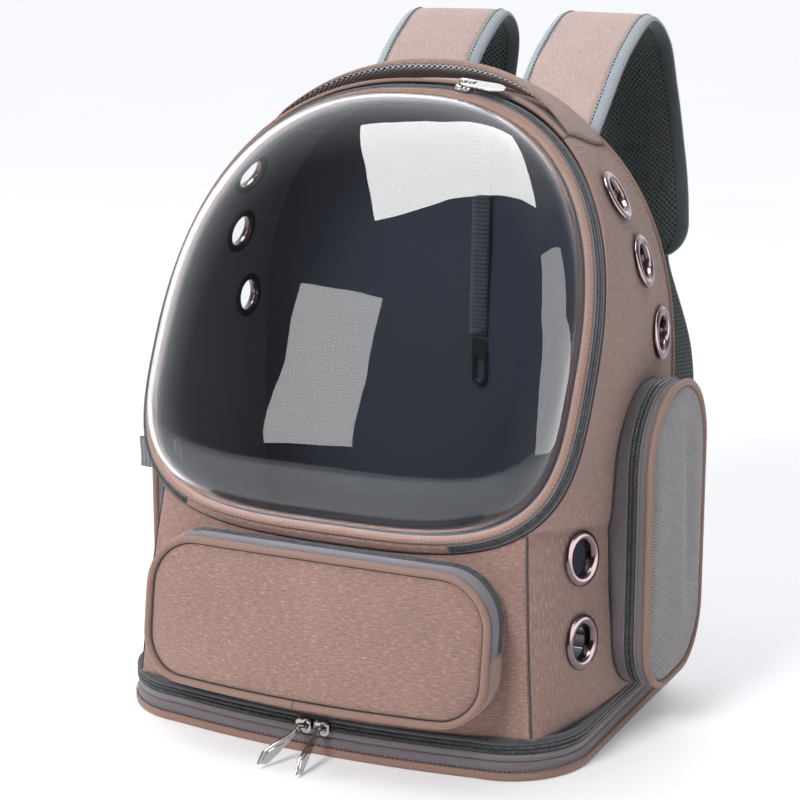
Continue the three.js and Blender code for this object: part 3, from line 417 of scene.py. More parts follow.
def apply_modifier(obj, modifier):
    bpy.context.view_layer.update()
    deps = bpy.context.evaluated_depsgraph_get()
    mesh = bpy.data.meshes.new_from_object(obj.evaluated_get(deps), preserve_all_data_layers=True,
                                           depsgraph=deps)
    obj.modifiers.remove(modifier)
    old = obj.data
    obj.data = mesh
    bpy.data.meshes.remove(old)
    return obj


def plate(name, loops, thick, bevel, axes, origin, mat, body):
    """A bevelled plate from flat outlines, the first one its edge and the others its holes."""
    curve = bpy.data.curves.new(name, "CURVE")
    curve.dimensions, curve.fill_mode = "2D", "BOTH"
    curve.extrude, curve.bevel_depth, curve.bevel_resolution = (thick / 2 - bevel) * MM, bevel * MM, 3
    curve.offset = -bevel * MM
    for points in loops:
        spline = curve.splines.new("POLY")
        spline.points.add(len(points) - 1)
        for k, (x, y) in enumerate(points):
            spline.points[k].co = (x * MM, y * MM, 0, 1)
        spline.use_cyclic_u = True
    holder = bpy.data.objects.new(name + "_curve", curve)
    bpy.context.scene.collection.objects.link(holder)
    bpy.context.view_layer.update()
    deps = bpy.context.evaluated_depsgraph_get()
    mesh = bpy.data.meshes.new_from_object(holder.evaluated_get(deps))
    bpy.data.objects.remove(holder)
    turned = Matrix([Vector(a) for a in axes]).transposed().to_4x4()
    mesh.transform(Matrix.Translation(Vector(origin) * MM) @ turned)
    mesh.materials.clear()
    mesh.materials.append(mat)
    mesh.name = name
    for f in mesh.polygons:
        f.use_smooth = True
    obj = bpy.data.objects.new(name, mesh)
    bpy.context.scene.collection.objects.link(obj)
    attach(obj, body)
    return sharp(outward_facing(obj), 50)


def wobble(points, size, shift=(0, 0, 0)):
    """Smooth noise at each point, for cloth that isn't quite flat."""
    return np.array([noise.noise(Vector(p / size) + Vector(shift)) for p in points])


def ripple(P, normal, amount, size, seed):
    """Moves points along their normals by smooth noise."""
    move = wobble(P.reshape(-1, 3), size, (seed, seed * 0.7, seed * 1.3)) * amount
    return P + normal * move.reshape(P.shape[:-1])[..., None]


# Materials
def material(name, rough=0.9, metal=0.0, sheen=0.0, spec=0.5, coat=0.0):
    mat = bpy.data.materials.new(name)
    mat.use_nodes = True
    bsdf = mat.node_tree.nodes["Principled BSDF"]
    bsdf.inputs["Roughness"].default_value = rough
    bsdf.inputs["Metallic"].default_value = metal
    bsdf.inputs["Sheen Weight"].default_value = sheen
    bsdf.inputs["Specular IOR Level"].default_value = spec
    bsdf.inputs["Coat Weight"].default_value = coat
    return mat, mat.node_tree, bsdf


class Graph:
    """Short ways to add and join shader nodes."""

    def __init__(self, tree):
        self.tree = tree
        self.uv = None

    def add(self, kind, **values):
        node = self.tree.nodes.new(kind)
        for key, value in values.items():
            setattr(node, key, value)
        return node

    def join(self, a, b):
        self.tree.links.new(a, b)

    def place(self, scale, turn=0.0, source=None):
        node = self.add("ShaderNodeMapping")
        node.inputs["Scale"].default_value = scale
        node.inputs["Rotation"].default_value = (0, 0, turn)
        if source is None and self.uv is None:
            self.uv = self.add("ShaderNodeUVMap", uv_map="UVMap")
        self.join(source or self.uv.outputs["UV"], node.inputs["Vector"])
        return node.outputs["Vector"]

    def solid(self, scale):
        """Object coordinates, scaled the same in all directions."""
        coords = self.add("ShaderNodeTexCoord")
        return self.place((scale, scale, scale), source=coords.outputs["Object"])

    def noise(self, vector, scale=1.0, detail=3.0, rough=0.5):
        node = self.add("ShaderNodeTexNoise")
        node.inputs["Scale"].default_value = scale
        node.inputs["Detail"].default_value = detail
        node.inputs["Roughness"].default_value = rough
        self.join(vector, node.inputs["Vector"])
        return node.outputs["Fac"]

    def wave(self, vector, scale, direction="X"):
        node = self.add("ShaderNodeTexWave")
        node.bands_direction = direction
        node.inputs["Scale"].default_value = scale
        self.join(vector, node.inputs["Vector"])
        return node.outputs["Fac"]

    def ramp(self, fac, stops):
        node = self.add("ShaderNodeValToRGB")
        ramp = node.color_ramp
        while len(ramp.elements) < len(stops):
            ramp.elements.new(0.5)
        for element, (place, colour) in zip(ramp.elements, stops):
            element.position = place
            element.color = (*colour, 1) if len(colour) == 3 else colour
        self.join(fac, node.inputs["Fac"])
        return node.outputs["Color"]

    def blend(self, fac, a, b, mode="MIX"):
        node = self.add("ShaderNodeMix", data_type="RGBA", blend_type=mode)
        for socket, value in ((0, fac), (6, a), (7, b)):
            if hasattr(value, "is_output"):
                self.join(value, node.inputs[socket])
            elif socket == 0:
                node.inputs[0].default_value = value
            else:
                node.inputs[socket].default_value = (*value, 1)
        return node.outputs[2]

    def math(self, kind, a, b=None):
        node = self.add("ShaderNodeMath", operation=kind)
        for k, value in enumerate((a, b)):
            if value is None:
                continue
            if hasattr(value, "is_output"):
                self.join(value, node.inputs[k])
            else:
                node.inputs[k].default_value = value
        return node.outputs[0]

    def bump(self, height, distance, strength=1.0, normal=None):
        node = self.add("ShaderNodeBump")
        node.inputs["Distance"].default_value = distance
        node.inputs["Strength"].default_value = strength
        self.join(height, node.inputs["Height"])
        if normal is not None:
            self.join(normal, node.inputs["Normal"])
        return node.outputs["Normal"]


def rgb(r, g, b):
    """Linear colour from the photograph's 0 to 255 values."""
    return tuple((c / 255) ** 2.2 for c in (r, g, b))


def heather(name, base, pale, rust, dark, strength=1.0):
    """Woven two-tone cloth whose slubs run along the UV's first direction."""
    mat, tree, bsdf = material(name, 0.92, sheen=0.25, spec=0.25)
    g = Graph(tree)
    streak = g.noise(g.place((190, 1050, 1)), detail=4, rough=0.65)
    fleck = g.noise(g.place((240, 1250, 1)), scale=1.13, detail=3)
    broad = g.noise(g.place((14, 14, 1)), detail=2)
    tone = g.ramp(streak, [(0.30, dark), (0.45, base), (0.54, base), (0.67, pale)])
    rusty = g.ramp(fleck, [(0.53, (0, 0, 0)), (0.62, (1, 1, 1))])
    colour = g.blend(g.math("MULTIPLY", rusty, 0.62 * strength), tone, rust)
    shade = g.ramp(broad, [(0.3, (0.93, 0.93, 0.93)), (0.7, (1.05, 1.04, 1.04))])
    g.join(g.blend(1.0, colour, shade, "MULTIPLY"), bsdf.inputs["Base Color"])
    weave = g.math("MULTIPLY", g.wave(g.place((1, 1, 1)), 230, "X"), g.wave(g.place((1, 1, 1)), 260, "Y"))
    height = g.math("ADD", g.math("MULTIPLY", streak, 1.3), weave)
    g.join(g.bump(height, 0.00038, 0.8), bsdf.inputs["Normal"])
    return mat


def plain_cloth(name, colour, dark, scale=900, rough=0.9, amount=0.00025, ribs=None):
    """Fine plain cloth, or ribbed webbing where ribs gives their number for each metre."""
    mat, tree, bsdf = material(name, rough, sheen=0.2, spec=0.25)
    g = Graph(tree)
    grain = g.noise(g.place((scale, scale, 1)), detail=2)
    if ribs:
        lines = g.wave(g.place((1, 1, 1)), ribs / 20 * math.pi, "Y")
        cross = g.wave(g.place((1, 1, 1)), ribs / 20 * math.pi * 1.3, "X")
        height = g.math("ADD", lines, g.math("MULTIPLY", cross, 0.35))
        fac = g.math("MULTIPLY", g.math("ADD", height, grain), 0.45)
    else:
        height = fac = grain
    g.join(g.ramp(fac, [(0.25, dark), (0.65, colour)]), bsdf.inputs["Base Color"])
    g.join(g.bump(height, amount), bsdf.inputs["Normal"])
    return mat


def air_mesh(name, strand, hole, per_metre, size=0.33, squash=1.0):
    """Knitted spacer mesh: rows of round holes, each row shifted by half a hole."""
    mat, tree, bsdf = material(name, 0.75, sheen=0.15, spec=0.3)
    g = Graph(tree)
    cells = g.add("ShaderNodeTexVoronoi", feature="F1")
    cells.inputs["Scale"].default_value = 1.0
    cells.inputs["Randomness"].default_value = 0.0
    g.join(g.place((per_metre, per_metre * squash, 1), math.pi / 4), cells.inputs["Vector"])
    distance = cells.outputs["Distance"]
    tone = g.ramp(distance, [(size - 0.06, hole), (size + 0.05, strand)])
    grain = g.noise(g.place((2500, 2500, 1)), detail=2)
    shade = g.ramp(grain, [(0.3, (0.8, 0.8, 0.8)), (0.7, (1.15, 1.15, 1.15))])
    g.join(g.blend(1.0, tone, shade, "MULTIPLY"), bsdf.inputs["Base Color"])
    step = g.ramp(distance, [(size - 0.12, (0, 0, 0)), (size + 0.12, (1, 1, 1))])
    g.join(g.bump(step, 0.0011), bsdf.inputs["Normal"])
    return mat


def metal(name, colour, rough, scratch=0.02):
    """Plated metal with faint wear in its colour and gloss."""
    mat, tree, bsdf = material(name, rough, 1.0)
    g = Graph(tree)
    wear = g.noise(g.solid(400), detail=3)
    g.join(g.ramp(wear, [(0.3, tuple(c * 0.85 for c in colour)), (0.7, colour)]), bsdf.inputs["Base Color"])
    level = g.add("ShaderNodeMapRange")
    level.inputs["To Min"].default_value = max(rough - scratch, 0.01)
    level.inputs["To Max"].default_value = rough + scratch * 2
    g.join(wear, level.inputs["Value"])
    g.join(level.outputs["Result"], bsdf.inputs["Roughness"])
    return mat


def clear_plastic(name):
    """Clear plastic that is slightly wavy and lets light through to the cabin."""
    mat, tree, bsdf = material(name, 0.015)
    bsdf.inputs["Transmission Weight"].default_value = 1.0
    bsdf.inputs["IOR"].default_value = 1.46
    g = Graph(tree)
    haze = g.noise(g.solid(9), detail=2)
    g.join(g.ramp(haze, [(0.3, (0.86, 0.89, 0.93)), (0.7, (0.92, 0.94, 0.96))]), bsdf.inputs["Base Color"])
    wavy = g.noise(g.solid(14), detail=1)
    g.join(g.bump(wavy, 0.0006, 0.35), bsdf.inputs["Normal"])
    output = tree.nodes["Material Output"]
    path = g.add("ShaderNodeLightPath")
    clear = g.add("ShaderNodeBsdfTransparent")
    clear.inputs["Color"].default_value = (0.9, 0.92, 0.95, 1)
    both = g.add("ShaderNodeMixShader")
    g.join(path.outputs["Is Shadow Ray"], both.inputs[0])
    g.join(bsdf.outputs[0], both.inputs[1])
    g.join(clear.outputs[0], both.inputs[2])
    g.join(both.outputs[0], output.inputs["Surface"])
    return mat


def ribbed(name):
    """The side pockets' face: fine raised diagonal ribs."""
    mat, tree, bsdf = material(name, 0.8, sheen=0.2, spec=0.3)
    g = Graph(tree)
    ribs = g.wave(g.place((1, 1, 1), math.radians(28)), 165, "Y")
    grain = g.noise(g.place((1600, 1600, 1)), detail=2)
    fac = g.math("ADD", g.math("MULTIPLY", ribs, 0.75), g.math("MULTIPLY", grain, 0.3))
    g.join(g.ramp(fac, [(0.2, rgb(112, 108, 111)), (0.8, rgb(148, 144, 147))]), bsdf.inputs["Base Color"])
    g.join(g.bump(ribs, 0.0004), bsdf.inputs["Normal"])
    return mat


def zip_coil(name):
    mat, tree, bsdf = material(name, 0.42, spec=0.5)
    g = Graph(tree)
    g.join(g.ramp(g.noise(g.solid(300)), [(0.3, rgb(62, 66, 69)), (0.7, rgb(96, 100, 103))]),
           bsdf.inputs["Base Color"])
    return mat


BROWN = heather("brown_heather", rgb(154, 126, 116), rgb(182, 168, 164), rgb(172, 112, 92), rgb(122, 100, 93))
BROWN_STRAP = heather("brown_strap_heather", rgb(202, 178, 172), rgb(220, 210, 208), rgb(208, 160, 148),
                      rgb(180, 160, 154))
BROWN_TRIM = plain_cloth("brown_trim", rgb(156, 126, 114), rgb(132, 105, 96), 1500)
GREY = plain_cloth("grey_cloth", rgb(126, 118, 122), rgb(98, 92, 96), 1400)
GREY_TAPE = plain_cloth("grey_tape", rgb(132, 126, 130), rgb(108, 102, 106), 1400)
DARK_TAPE = plain_cloth("dark_tape", rgb(84, 84, 88), rgb(58, 58, 62), 1600)
COIL = zip_coil("zip_coil")
# The strap binding is one grey-blue tape: the pale copy is its colour, and the dark copy is painted shade on
# the binding's underside. The door's gasket and the strap's end use the same dark copy.
PALE_BINDING = plain_cloth("pale_binding", rgb(182, 190, 198), rgb(150, 159, 167), 1500, ribs=900)
DARK_AND_SHADED_BINDING = plain_cloth("dark_and_shaded_binding", rgb(84, 90, 93), rgb(58, 63, 66), 1500)
WEBBING = plain_cloth("grey_webbing", rgb(128, 132, 134), rgb(92, 97, 100), 1500, ribs=620, amount=0.0004)
MESH = air_mesh("dark_air_mesh", rgb(84, 92, 93), rgb(14, 16, 17), 330)
MESH_HANDLE = air_mesh("handle_air_mesh", rgb(214, 215, 217), rgb(12, 12, 13), 330, 0.35, 1.15)
LINING = plain_cloth("dark_lining", rgb(60, 62, 71), rgb(42, 44, 51), 1200)
TETHER_CLOTH = plain_cloth("tether_webbing", rgb(70, 73, 80), rgb(44, 46, 52), 1500, ribs=620)
PAD_CLOTH = plain_cloth("pad_cloth", rgb(84, 88, 98), rgb(60, 63, 72), 900)
THREAD = plain_cloth("pale_thread", rgb(196, 176, 164), rgb(160, 138, 126), 2000)
GREY_THREAD = plain_cloth("grey_thread", rgb(78, 74, 76), rgb(54, 52, 54), 2000)
GUNMETAL = metal("gunmetal", rgb(112, 98, 100), 0.2)
CHROME = metal("chrome", rgb(188, 186, 184), 0.07)
BLACK = plain_cloth("black_plastic", rgb(26, 26, 29), rgb(14, 14, 16), 500, 0.42, 0.0001)
CLEAR = clear_plastic("clear_plastic")
RIBBED = ribbed("ribbed_cloth")

# Outlines and frames that several pieces share
SIDES = (("right", 1), ("left", -1))
UP = np.array([0, 0, 1.0])
RIGHT = np.array([1.0, 0, 0])
FRONTWARD = np.array([0, -1.0, 0])
MIRROR = np.array([-1.0, 1.0, 1.0])


def flip(P, s):
    return np.asarray(P) if s > 0 else np.asarray(P) * MIRROR


def flipped(s, *grids):
    """The same grids for the right side, or their mirror images for the left."""
    return [flip(P, s) for P in grids]


def dress(obj, node=None):
    """Hides the solid that a piece stands for, where it stands for one."""
    if node:
        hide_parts(node)
    return obj


def zip_up(pieces, node):
    """A zip's tape and teeth stand for the solid, which is hidden."""
    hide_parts(node)


def quarter(x, y, radius, start, count):
    a = np.linspace(start, start + np.pi / 2, count)
    return np.stack([x + radius * np.cos(a), y + radius * np.sin(a)], -1)


def rounded(half, low, high, corner_low, corner_high, count=12):
    """A rectangle from -half to half and low to high, with round corners."""
    return np.concatenate([
        quarter(half - corner_high, high - corner_high, corner_high, 0, count),
        quarter(-half + corner_high, high - corner_high, corner_high, np.pi / 2, count),
        quarter(-half + corner_low, low + corner_low, corner_low, np.pi, count),
        quarter(half - corner_low, low + corner_low, corner_low, np.pi * 1.5, count)])


def edge_frame(outline, count):
    """Even points round a closed outline, and the outward direction at each."""
    closed = np.concatenate([outline, outline[:1]])
    s = np.concatenate([[0], np.cumsum(np.linalg.norm(np.diff(closed, axis=0), axis=1))])
    t = np.linspace(0, s[-1], count, endpoint=False)
    edge = np.stack([np.interp(t, s, closed[:, k]) for k in (0, 1)], -1)
    ahead = unit(np.roll(edge, -1, 0) - np.roll(edge, 1, 0))
    return edge, np.stack([ahead[:, 1], -ahead[:, 0]], -1)


def stretch(edge, start, stop):
    """The numbers of an outline's points from near one place round to near another."""
    a, b = [int(np.argmin(np.hypot(*(edge - place).T))) for place in (start, stop)]
    return (a + np.arange((b - a) % len(edge) + 1)) % len(edge)


# Base: wall, board, binding, zip and quilted mat
BASE_ZIP_Z = 21.6
BASE_ZIP_HALF = 5.2
BASE_ZIP_LOW = 8.0
WALL_ROWS = [(0, 3.0), (0.1, 5.5), (0.35, 8.5), (0.0, 12.2), (-1.0, 13.0), (-2.6, 13.0), (-3.0, 12.0),
             (-3.0, 3.2)]
EDGE_ROWS = [(0.2, 0.0), (1.6, 0.5), (2.1, 2.4), (1.9, 4.6), (1.1, 5.8), (-0.2, 6.0), (-0.8, 5.0),
             (-0.8, 0.2)]
LIP_ROWS = [(-2.6, -1.4), (0.4, -1.6), (0.9, -0.6), (0.6, 0.9), (-2.6, 1.4)]
BOARD_ROWS = [(2.2, 0.1), (2.0, 1.2), (2.2, 3.0)]
MAT_INSET = 6.5
MAT_ROWS = [(10, 4.0), (6.5, 6.5), (6.5, 10.5), (9, 13.0), (16, 14.2), (40, 14.6), (80, 14.8)]


def base_plan(inset):
    """The base from above, drawn in by inset: a crowned front and four round corners."""
    s = np.linspace(0, 1, 16)[:-1]
    right = np.concatenate([
        np.stack([s * (BASE_HALF - FRONT_CORNER), inset - BASE_FRONT + BASE_CROWN * s * s], -1),
        quarter(BASE_HALF - FRONT_CORNER, BASE_CROWN - BASE_FRONT + FRONT_CORNER, FRONT_CORNER - inset,
                -np.pi / 2, 16),
        quarter(BASE_HALF - BACK_CORNER, BASE_BACK - BACK_CORNER, BACK_CORNER - inset, 0, 10)])
    return np.concatenate([right, right[1:][::-1] * (-1, 1)])


def plan_frame(inset, z):
    """Even points round the base at one height, with the directions out and up at each."""
    at = resample(vec(*base_plan(inset).T, z), 3.0, True)[0]
    ahead = unit(np.roll(at, -1, 0) - np.roll(at, 1, 0))
    return at, unit(np.cross(ahead, UP)), np.broadcast_to(UP, at.shape).copy()


dress(tube("base_wall", *plan_frame(1.8, 0.0), WALL_ROWS, GREY), "base_tray")
board = np.stack([vec(*base_plan(inset).T, z) for inset, z in BOARD_ROWS])
dress(surface("base_board", board, LINING, (False, True), caps=True))
dress(tube("base_piping", *plan_frame(2.0, 0.0), EDGE_ROWS, BROWN_TRIM), "base_binding")
row, normal, _ = plan_frame(0.35, 7.1)
dress(stitches("base_stitches", row, normal, GREY_THREAD, loop=True))
at, out, up = plan_frame(2.6, BASE_ZIP_Z)
zip_up(zip_chain("base_zip_chain", at, up, out, BASE_ZIP_HALF, True, GREY_TAPE, wide=2.9, low=BASE_ZIP_LOW),
       "base_zip")
dress(tube("body_foot_binding", *plan_frame(2.4, 27.0), LIP_ROWS, DARK_TAPE))

plan = base_plan(MAT_INSET)
rings = [vec(*(plan * (1 - (inset - MAT_INSET) / 120)).T, z) for inset, z in MAT_ROWS]
quilt = surface("floor_mat", np.stack(rings), PAD_CLOTH, (False, True), caps=True)
dress(quilt)

# Body panels
CLOTH_IN = -2.6
HOLE_RADIUS = 13.4
HOLE_SIDES = 32


def fade(share, steepness):
    """0 at both ends of a 0 to 1 run and 1 between them, so that seams stay where they are."""
    return np.minimum(1, np.minimum(share, 1 - share) * steepness)


def side_slab(name, w0, w1, n, m, s):
    """A cloth panel of the side surface, brown outside and lined inside."""
    W, U = np.broadcast_arrays(np.linspace(w0, w1, n)[:, None], np.linspace(0, 1, m)[None, :])
    outer = side_off(W, U, 0)
    ends = np.minimum(1, np.minimum(W - w0, w1 - W) * 12)
    moved = ripple(outer, side_normal(W, U), 1.0, 42.0, 3.0 * s)
    outer = outer + (moved - outer) * (fade(U, 12) * ends)[..., None]
    outer[..., 2] = np.maximum(outer[..., 2], BODY_FOOT)
    return shell(name, flip(outer, s), flip(side_off(W, U, CLOTH_IN), s), [BROWN, LINING], turn=True)


def eyelet_axes(w, u):
    z = side_normal(np.array(w), np.array(u))
    x = unit(np.cross(UP, z))
    return side_point(w, u), x, np.cross(z, x), z


def cutter(s):
    """Round bars through the side cloth, one for each eyelet's hole."""
    points, polys = [], []
    n = HOLE_SIDES
    a = np.linspace(0, 2 * np.pi, n + 1)[:-1, None]
    for k, (_, w, u) in enumerate(EYELETS):
        c, x, y, z = eyelet_axes(w, u)
        ring = c + HOLE_RADIUS * (np.cos(a) * x + np.sin(a) * y)
        points += [flip(ring + h * z, s) for h in (-16, 14)]
        low, high = 2 * k * n, (2 * k + 1) * n
        polys += [[low + i, low + (i + 1) % n, high + (i + 1) % n, high + i] for i in range(n)]
        polys += [list(range(low, high))[::-1], list(range(high, high + n))]
    mesh = bpy.data.meshes.new("cutter")
    mesh.from_pydata((np.concatenate(points) * MM).tolist(), [], polys)
    obj = bpy.data.objects.new("cutter", mesh)
    bpy.context.scene.collection.objects.link(obj)
    return outward_facing(obj)


for side, s in SIDES:
    panel = side_slab(f"side_cloth_{side}", 0.0, TOP_SEAM, 150, 46, s)
    tool = cutter(s)
    hole = panel.modifiers.new("holes", "BOOLEAN")
    hole.operation, hole.object, hole.solver = "DIFFERENCE", tool, "EXACT"
    apply_modifier(panel, hole)
    bpy.data.objects.remove(tool)
    dress(sharp(panel, 50), f"side_panel_{side}")
dress(side_slab("top_cloth", TOP_SEAM + 0.001, 6 - TOP_SEAM - 0.001, 90, 30, 1), "top_panel")

across, rise = np.broadcast_arrays(np.linspace(-1, 1, 110)[:, None], np.linspace(0, 1, 44)[None, :])
outer = front_off(across, rise, 0)
soft = np.minimum(1, (1 - np.abs(across)) * 14) * fade(rise, 10)
outer = outer + (ripple(outer, front_normal(across, rise), 0.9, 36.0, 9.0) - outer) * soft[..., None]
inner = front_off(across * (1 - 3.4 / SEAM_TOP), rise, CLOTH_IN)
dress(shell("front_cloth", outer, inner, [BROWN, LINING], turn=True), "front_panel")


def seam(name, at, up, width, mat=GREY_THREAD):
    """A sunken line where two panels meet."""
    side = unit(np.cross(unit(np.gradient(at, axis=0)), up))
    rows = [(-width, -1.2), (-width, 0.12), (0, 0.3), (width, 0.12), (width, -1.2)]
    return dress(tube(name, at, side, up, rows, mat, False))


def side_row(w, u, lift, s):
    """A row of places on the side cloth, and the direction out of the cloth at each."""
    w, u = np.broadcast_arrays(w, u)
    return flip(side_off(w, u, lift), s), flip(side_normal(w, u), s)


u = np.linspace(0.0, 0.99, 50)
for side, s in SIDES:
    w = np.linspace(0.01, 0.99, 60)
    seam(f"front_seam_{side}", side_row(w, 0.0, 0, s)[0], side_row(w, 0.02, 0, s)[1], 0.55)
    seam(f"top_seam_{side}", *side_row(TOP_SEAM, u, 0, s), 0.5)
    dress(stitches(f"top_stitches_{side}", *side_row(TOP_SEAM - 0.028, u, 0.1, s), THREAD))
    w = np.linspace(0.02, TOP_SEAM, 160)
    dress(stitches(f"back_stitches_{side}", *side_row(w, 0.975, 0.1, s), THREAD))

# Stitches above the front pocket
across = np.linspace(-0.42, 0.80, 60)
rise = np.linspace(0.845, 0.865, 60)
dress(stitches("front_stitches", front_off(across, rise, 0.12), front_normal(across, rise), THREAD,
               3.6, 2.4, 0.45))

# Back panel: padded air mesh with sewn channels, and a piping along its edge
CHANNELS_X = 56.0
CHANNELS_Z = (128.0, 318.0)
CHANNEL_WIDE = 5.0
PILLOW = 3.2
BACK_TOP = SHOULDER + BACK_RISE
PAD_FOOT_Y = BACK_FACE + 0.35
PAD_EDGE_Y = BACK_FACE + 1.2
PIPING_Y = BACK_FACE + 0.6
ARCH_BEND = 330.0


def back_depth(x, z):
    """How far the padding stands out: pillows with sewn channels between them."""
    lines = [np.abs(x) - CHANNELS_X] + [z - level for level in CHANNELS_Z]
    channel = sum(np.exp(-(line / CHANNEL_WIDE) ** 2) for line in lines)
    return PILLOW * np.clip(1 - channel, 0, 1)


def arch_half(z):
    """Half the back panel's width at a height."""
    high = np.clip((z - SHOULDER) / BACK_RISE, 0, 1)
    foot = mix(BACK_FOOT_HALF, BACK_HALF, (z - BODY_FOOT) / (SHOULDER - BODY_FOOT))
    return np.where(z <= SHOULDER, foot, BACK_HALF * (1 - high ** BACK_POWER) ** (1 / BACK_POWER))


low_levels = np.linspace(BODY_FOOT + 0.4, ARCH_BEND, 100)
high_levels = ARCH_BEND + (BACK_TOP - 0.6 - ARCH_BEND) * np.sin(np.linspace(0, np.pi / 2, 50)[1:])
levels = np.concatenate([low_levels, high_levels])
Z = np.broadcast_to(levels[:, None], (len(levels), 121))
X = (arch_half(Z) - 0.4) * np.sin(np.linspace(-1, 1, 121) * np.pi / 2)[None, :]
rim_gap = np.minimum(np.minimum(arch_half(Z) - np.abs(X), Z - BODY_FOOT), BACK_TOP - Z)
swell = np.sqrt(np.clip(1 - (1 - np.clip(rim_gap / 9, 0, 1)) ** 2, 0, 1))
back = shell("back_padding", vec(X, PAD_EDGE_Y + (2.6 + back_depth(X, Z)) * swell, Z), vec(X, PAD_FOOT_Y, Z),
             [MESH, LINING])
planar_uv(back, 0, 2)
dress(back, "back_panel")
w = np.concatenate([np.linspace(0, 2, 26), np.linspace(2, 3, 44)[1:]])
edge = back_edge(w)
edge = np.concatenate([edge, edge[:-1][::-1] * MIRROR])
ring = vec(edge[:, 0], PIPING_Y, np.maximum(edge[:, 2], BODY_FOOT))
ahead = unit(np.roll(ring, -1, 0) - np.roll(ring, 1, 0))
out = unit(np.cross(ahead, -FRONTWARD))
out = np.where(dot(ring - np.array([0, PIPING_Y, 215]), out) < 0, -out, out)
dress(tube("back_piping", ring, out, np.broadcast_to(-FRONTWARD, ring.shape), circle(1.9, 8), BROWN_TRIM))

# Eyelets, as turned rings with a rolled lip and a washer inside the cloth
RING_OUT = 18.6
RING_BORE = 11.6
EYELET_LIFT = {"top": 0.9, "middle": 0.5}


def eyelet_profile():
    """The ring's section, as radius and height."""
    r, b = RING_OUT, RING_BORE
    mid, half = (r + b) / 2 + 0.3, (r - b) / 2
    lip = [(mid + half * math.cos(a), 1.1 + 2.0 * math.sin(a)) for a in np.linspace(0, math.pi, 13)]
    barrel = [(b - 0.1, 0.6), (b - 0.2, -1.5), (b, -4.4), (b + 0.8, -5.3)]
    washer = [(b + 4.5, -5.4), (b + 5.2, -4.9), (b + 5.0, -4.4), (b + 1.6, -4.1), (b + 1.5, 0.2)]
    return [(r, 0.5)] + lip + barrel + washer + [(r - 1, 0.2)]


angles = np.linspace(0, 2 * np.pi, 57)[:-1, None, None]
radius, height = np.array(eyelet_profile()).T[:, None, :, None]
for place, w, u in EYELETS:
    c, x, y, z = eyelet_axes(w, u)
    P = c + radius * (np.cos(angles) * x + np.sin(angles) * y) + (height + EYELET_LIFT.get(place, 0.3)) * z
    for side, s in SIDES:
        ring = surface(f"eyelet_{side}_{place}_ring", flip(P, s), GUNMETAL, (True, True))
        dress(sharp(ring, 60), f"eyelet_{side}_{place}")

# Door: trim, gasket, zip, hinge and the clear bubble
ZIP_TILT = (4.7, 4.6)
ROUND = np.linspace(0, 2 * np.pi, 241)[:-1]
_, out, ahead = rim_frame(ROUND)
section = [(1.05 * math.cos(a) * PIPING, math.sin(a) * PIPING) for a in np.linspace(0, 2 * math.pi, 15)[:-1]]
dress(tube("door_trim", rim(ROUND), out, ahead, section, BROWN_TRIM), "door_piping")
dress(tube("door_gasket", rim_off(ROUND, -3.4, 0.4), out, ahead, circle(1.0, 8), DARK_AND_SHADED_BINDING))
dress(stitches("door_stitches", rim_off(ROUND, 1.9, -2.35), unit(ahead + out * 0.8), THREAD,
               loop=True, thick=0.36))


def rim_angle(x):
    """Where on the rim's foot a place across the door lies."""
    share = (1 - (abs(x) / RIM_HALF) ** RIM_FOOT_POWER) ** (1 / RIM_FOOT_POWER)
    return math.atan2(-share, x / RIM_HALF)


def door_band(angle, out, back):
    """Places beside the rim, with the directions across and out of the band that slopes away from it."""
    _, o, f = rim_frame(angle)
    wide, deep = ZIP_TILT
    return rim_off(angle, out, back), unit(o * wide - f * deep), unit(o * deep + f * wide)


zip_from = rim_angle(HINGE_RIGHT)
zip_to = rim_angle(-HINGE_LEFT) + 2 * math.pi
zip_at = np.linspace(zip_from, zip_to, 230)
zip_up(zip_chain("door_zip_chain", *door_band(zip_at, 5.9, 1.9), 3.4, False, GREY_TAPE, wide=2.0), "door_zip")
hinge_at = np.linspace(zip_to - 2 * math.pi + 0.002, zip_from - 0.002, 90)
HINGE_ROWS = [(-3.6, -0.8), (-3.4, 0.7), (-1.6, 1.2), (0, 1.0), (1.6, 1.3), (3.4, 0.8), (3.4, -0.8)]
dress(tube("door_hinge_cloth", *door_band(hinge_at, 5.8, 2.6), HINGE_ROWS, BROWN, False),
      "door_hinge")
# The zip's underlay hides the slot behind the door's edge
dress(tube("door_underlay", rim_off(ROUND, 4.6, 5.6), out, ahead,
           [(-6.0, -1.0), (-6.0, 0.2), (4.6, 0.2), (4.6, -1.0)], LINING))

DOME_TURNS = [0, 0.012, 0.03, 0.06, 0.1, 0.15, 0.21, 0.28, 0.36, 0.45, 0.55, 0.66, 0.78, 0.9, 1.02, 1.14,
              1.26, 1.37, 1.46, 1.52, 1.55, 1.565, 1.5703]
DOME_SKIRT = 2.6


def dome_rows(inset, depth):
    """Rings from the bubble's edge to near its crown, on a dome that is fuller than a ball."""
    rows = []
    edge = rim(ROUND, -inset)
    for t in DOME_TURNS:
        share = max(math.cos(t), 0) ** (2 / BUBBLE_POWER)
        z = mix(RIM_MID, edge[:, 2], share)
        rows.append(vec(edge[:, 0] * share, rim_y(z), z)
                    + forward(z) * depth * max(math.sin(t), 0) ** (2 / BUBBLE_POWER))
    return rows


def dome_crown(depth):
    return vec(0, rim_y(RIM_MID), RIM_MID) + forward(np.array(RIM_MID)) * depth


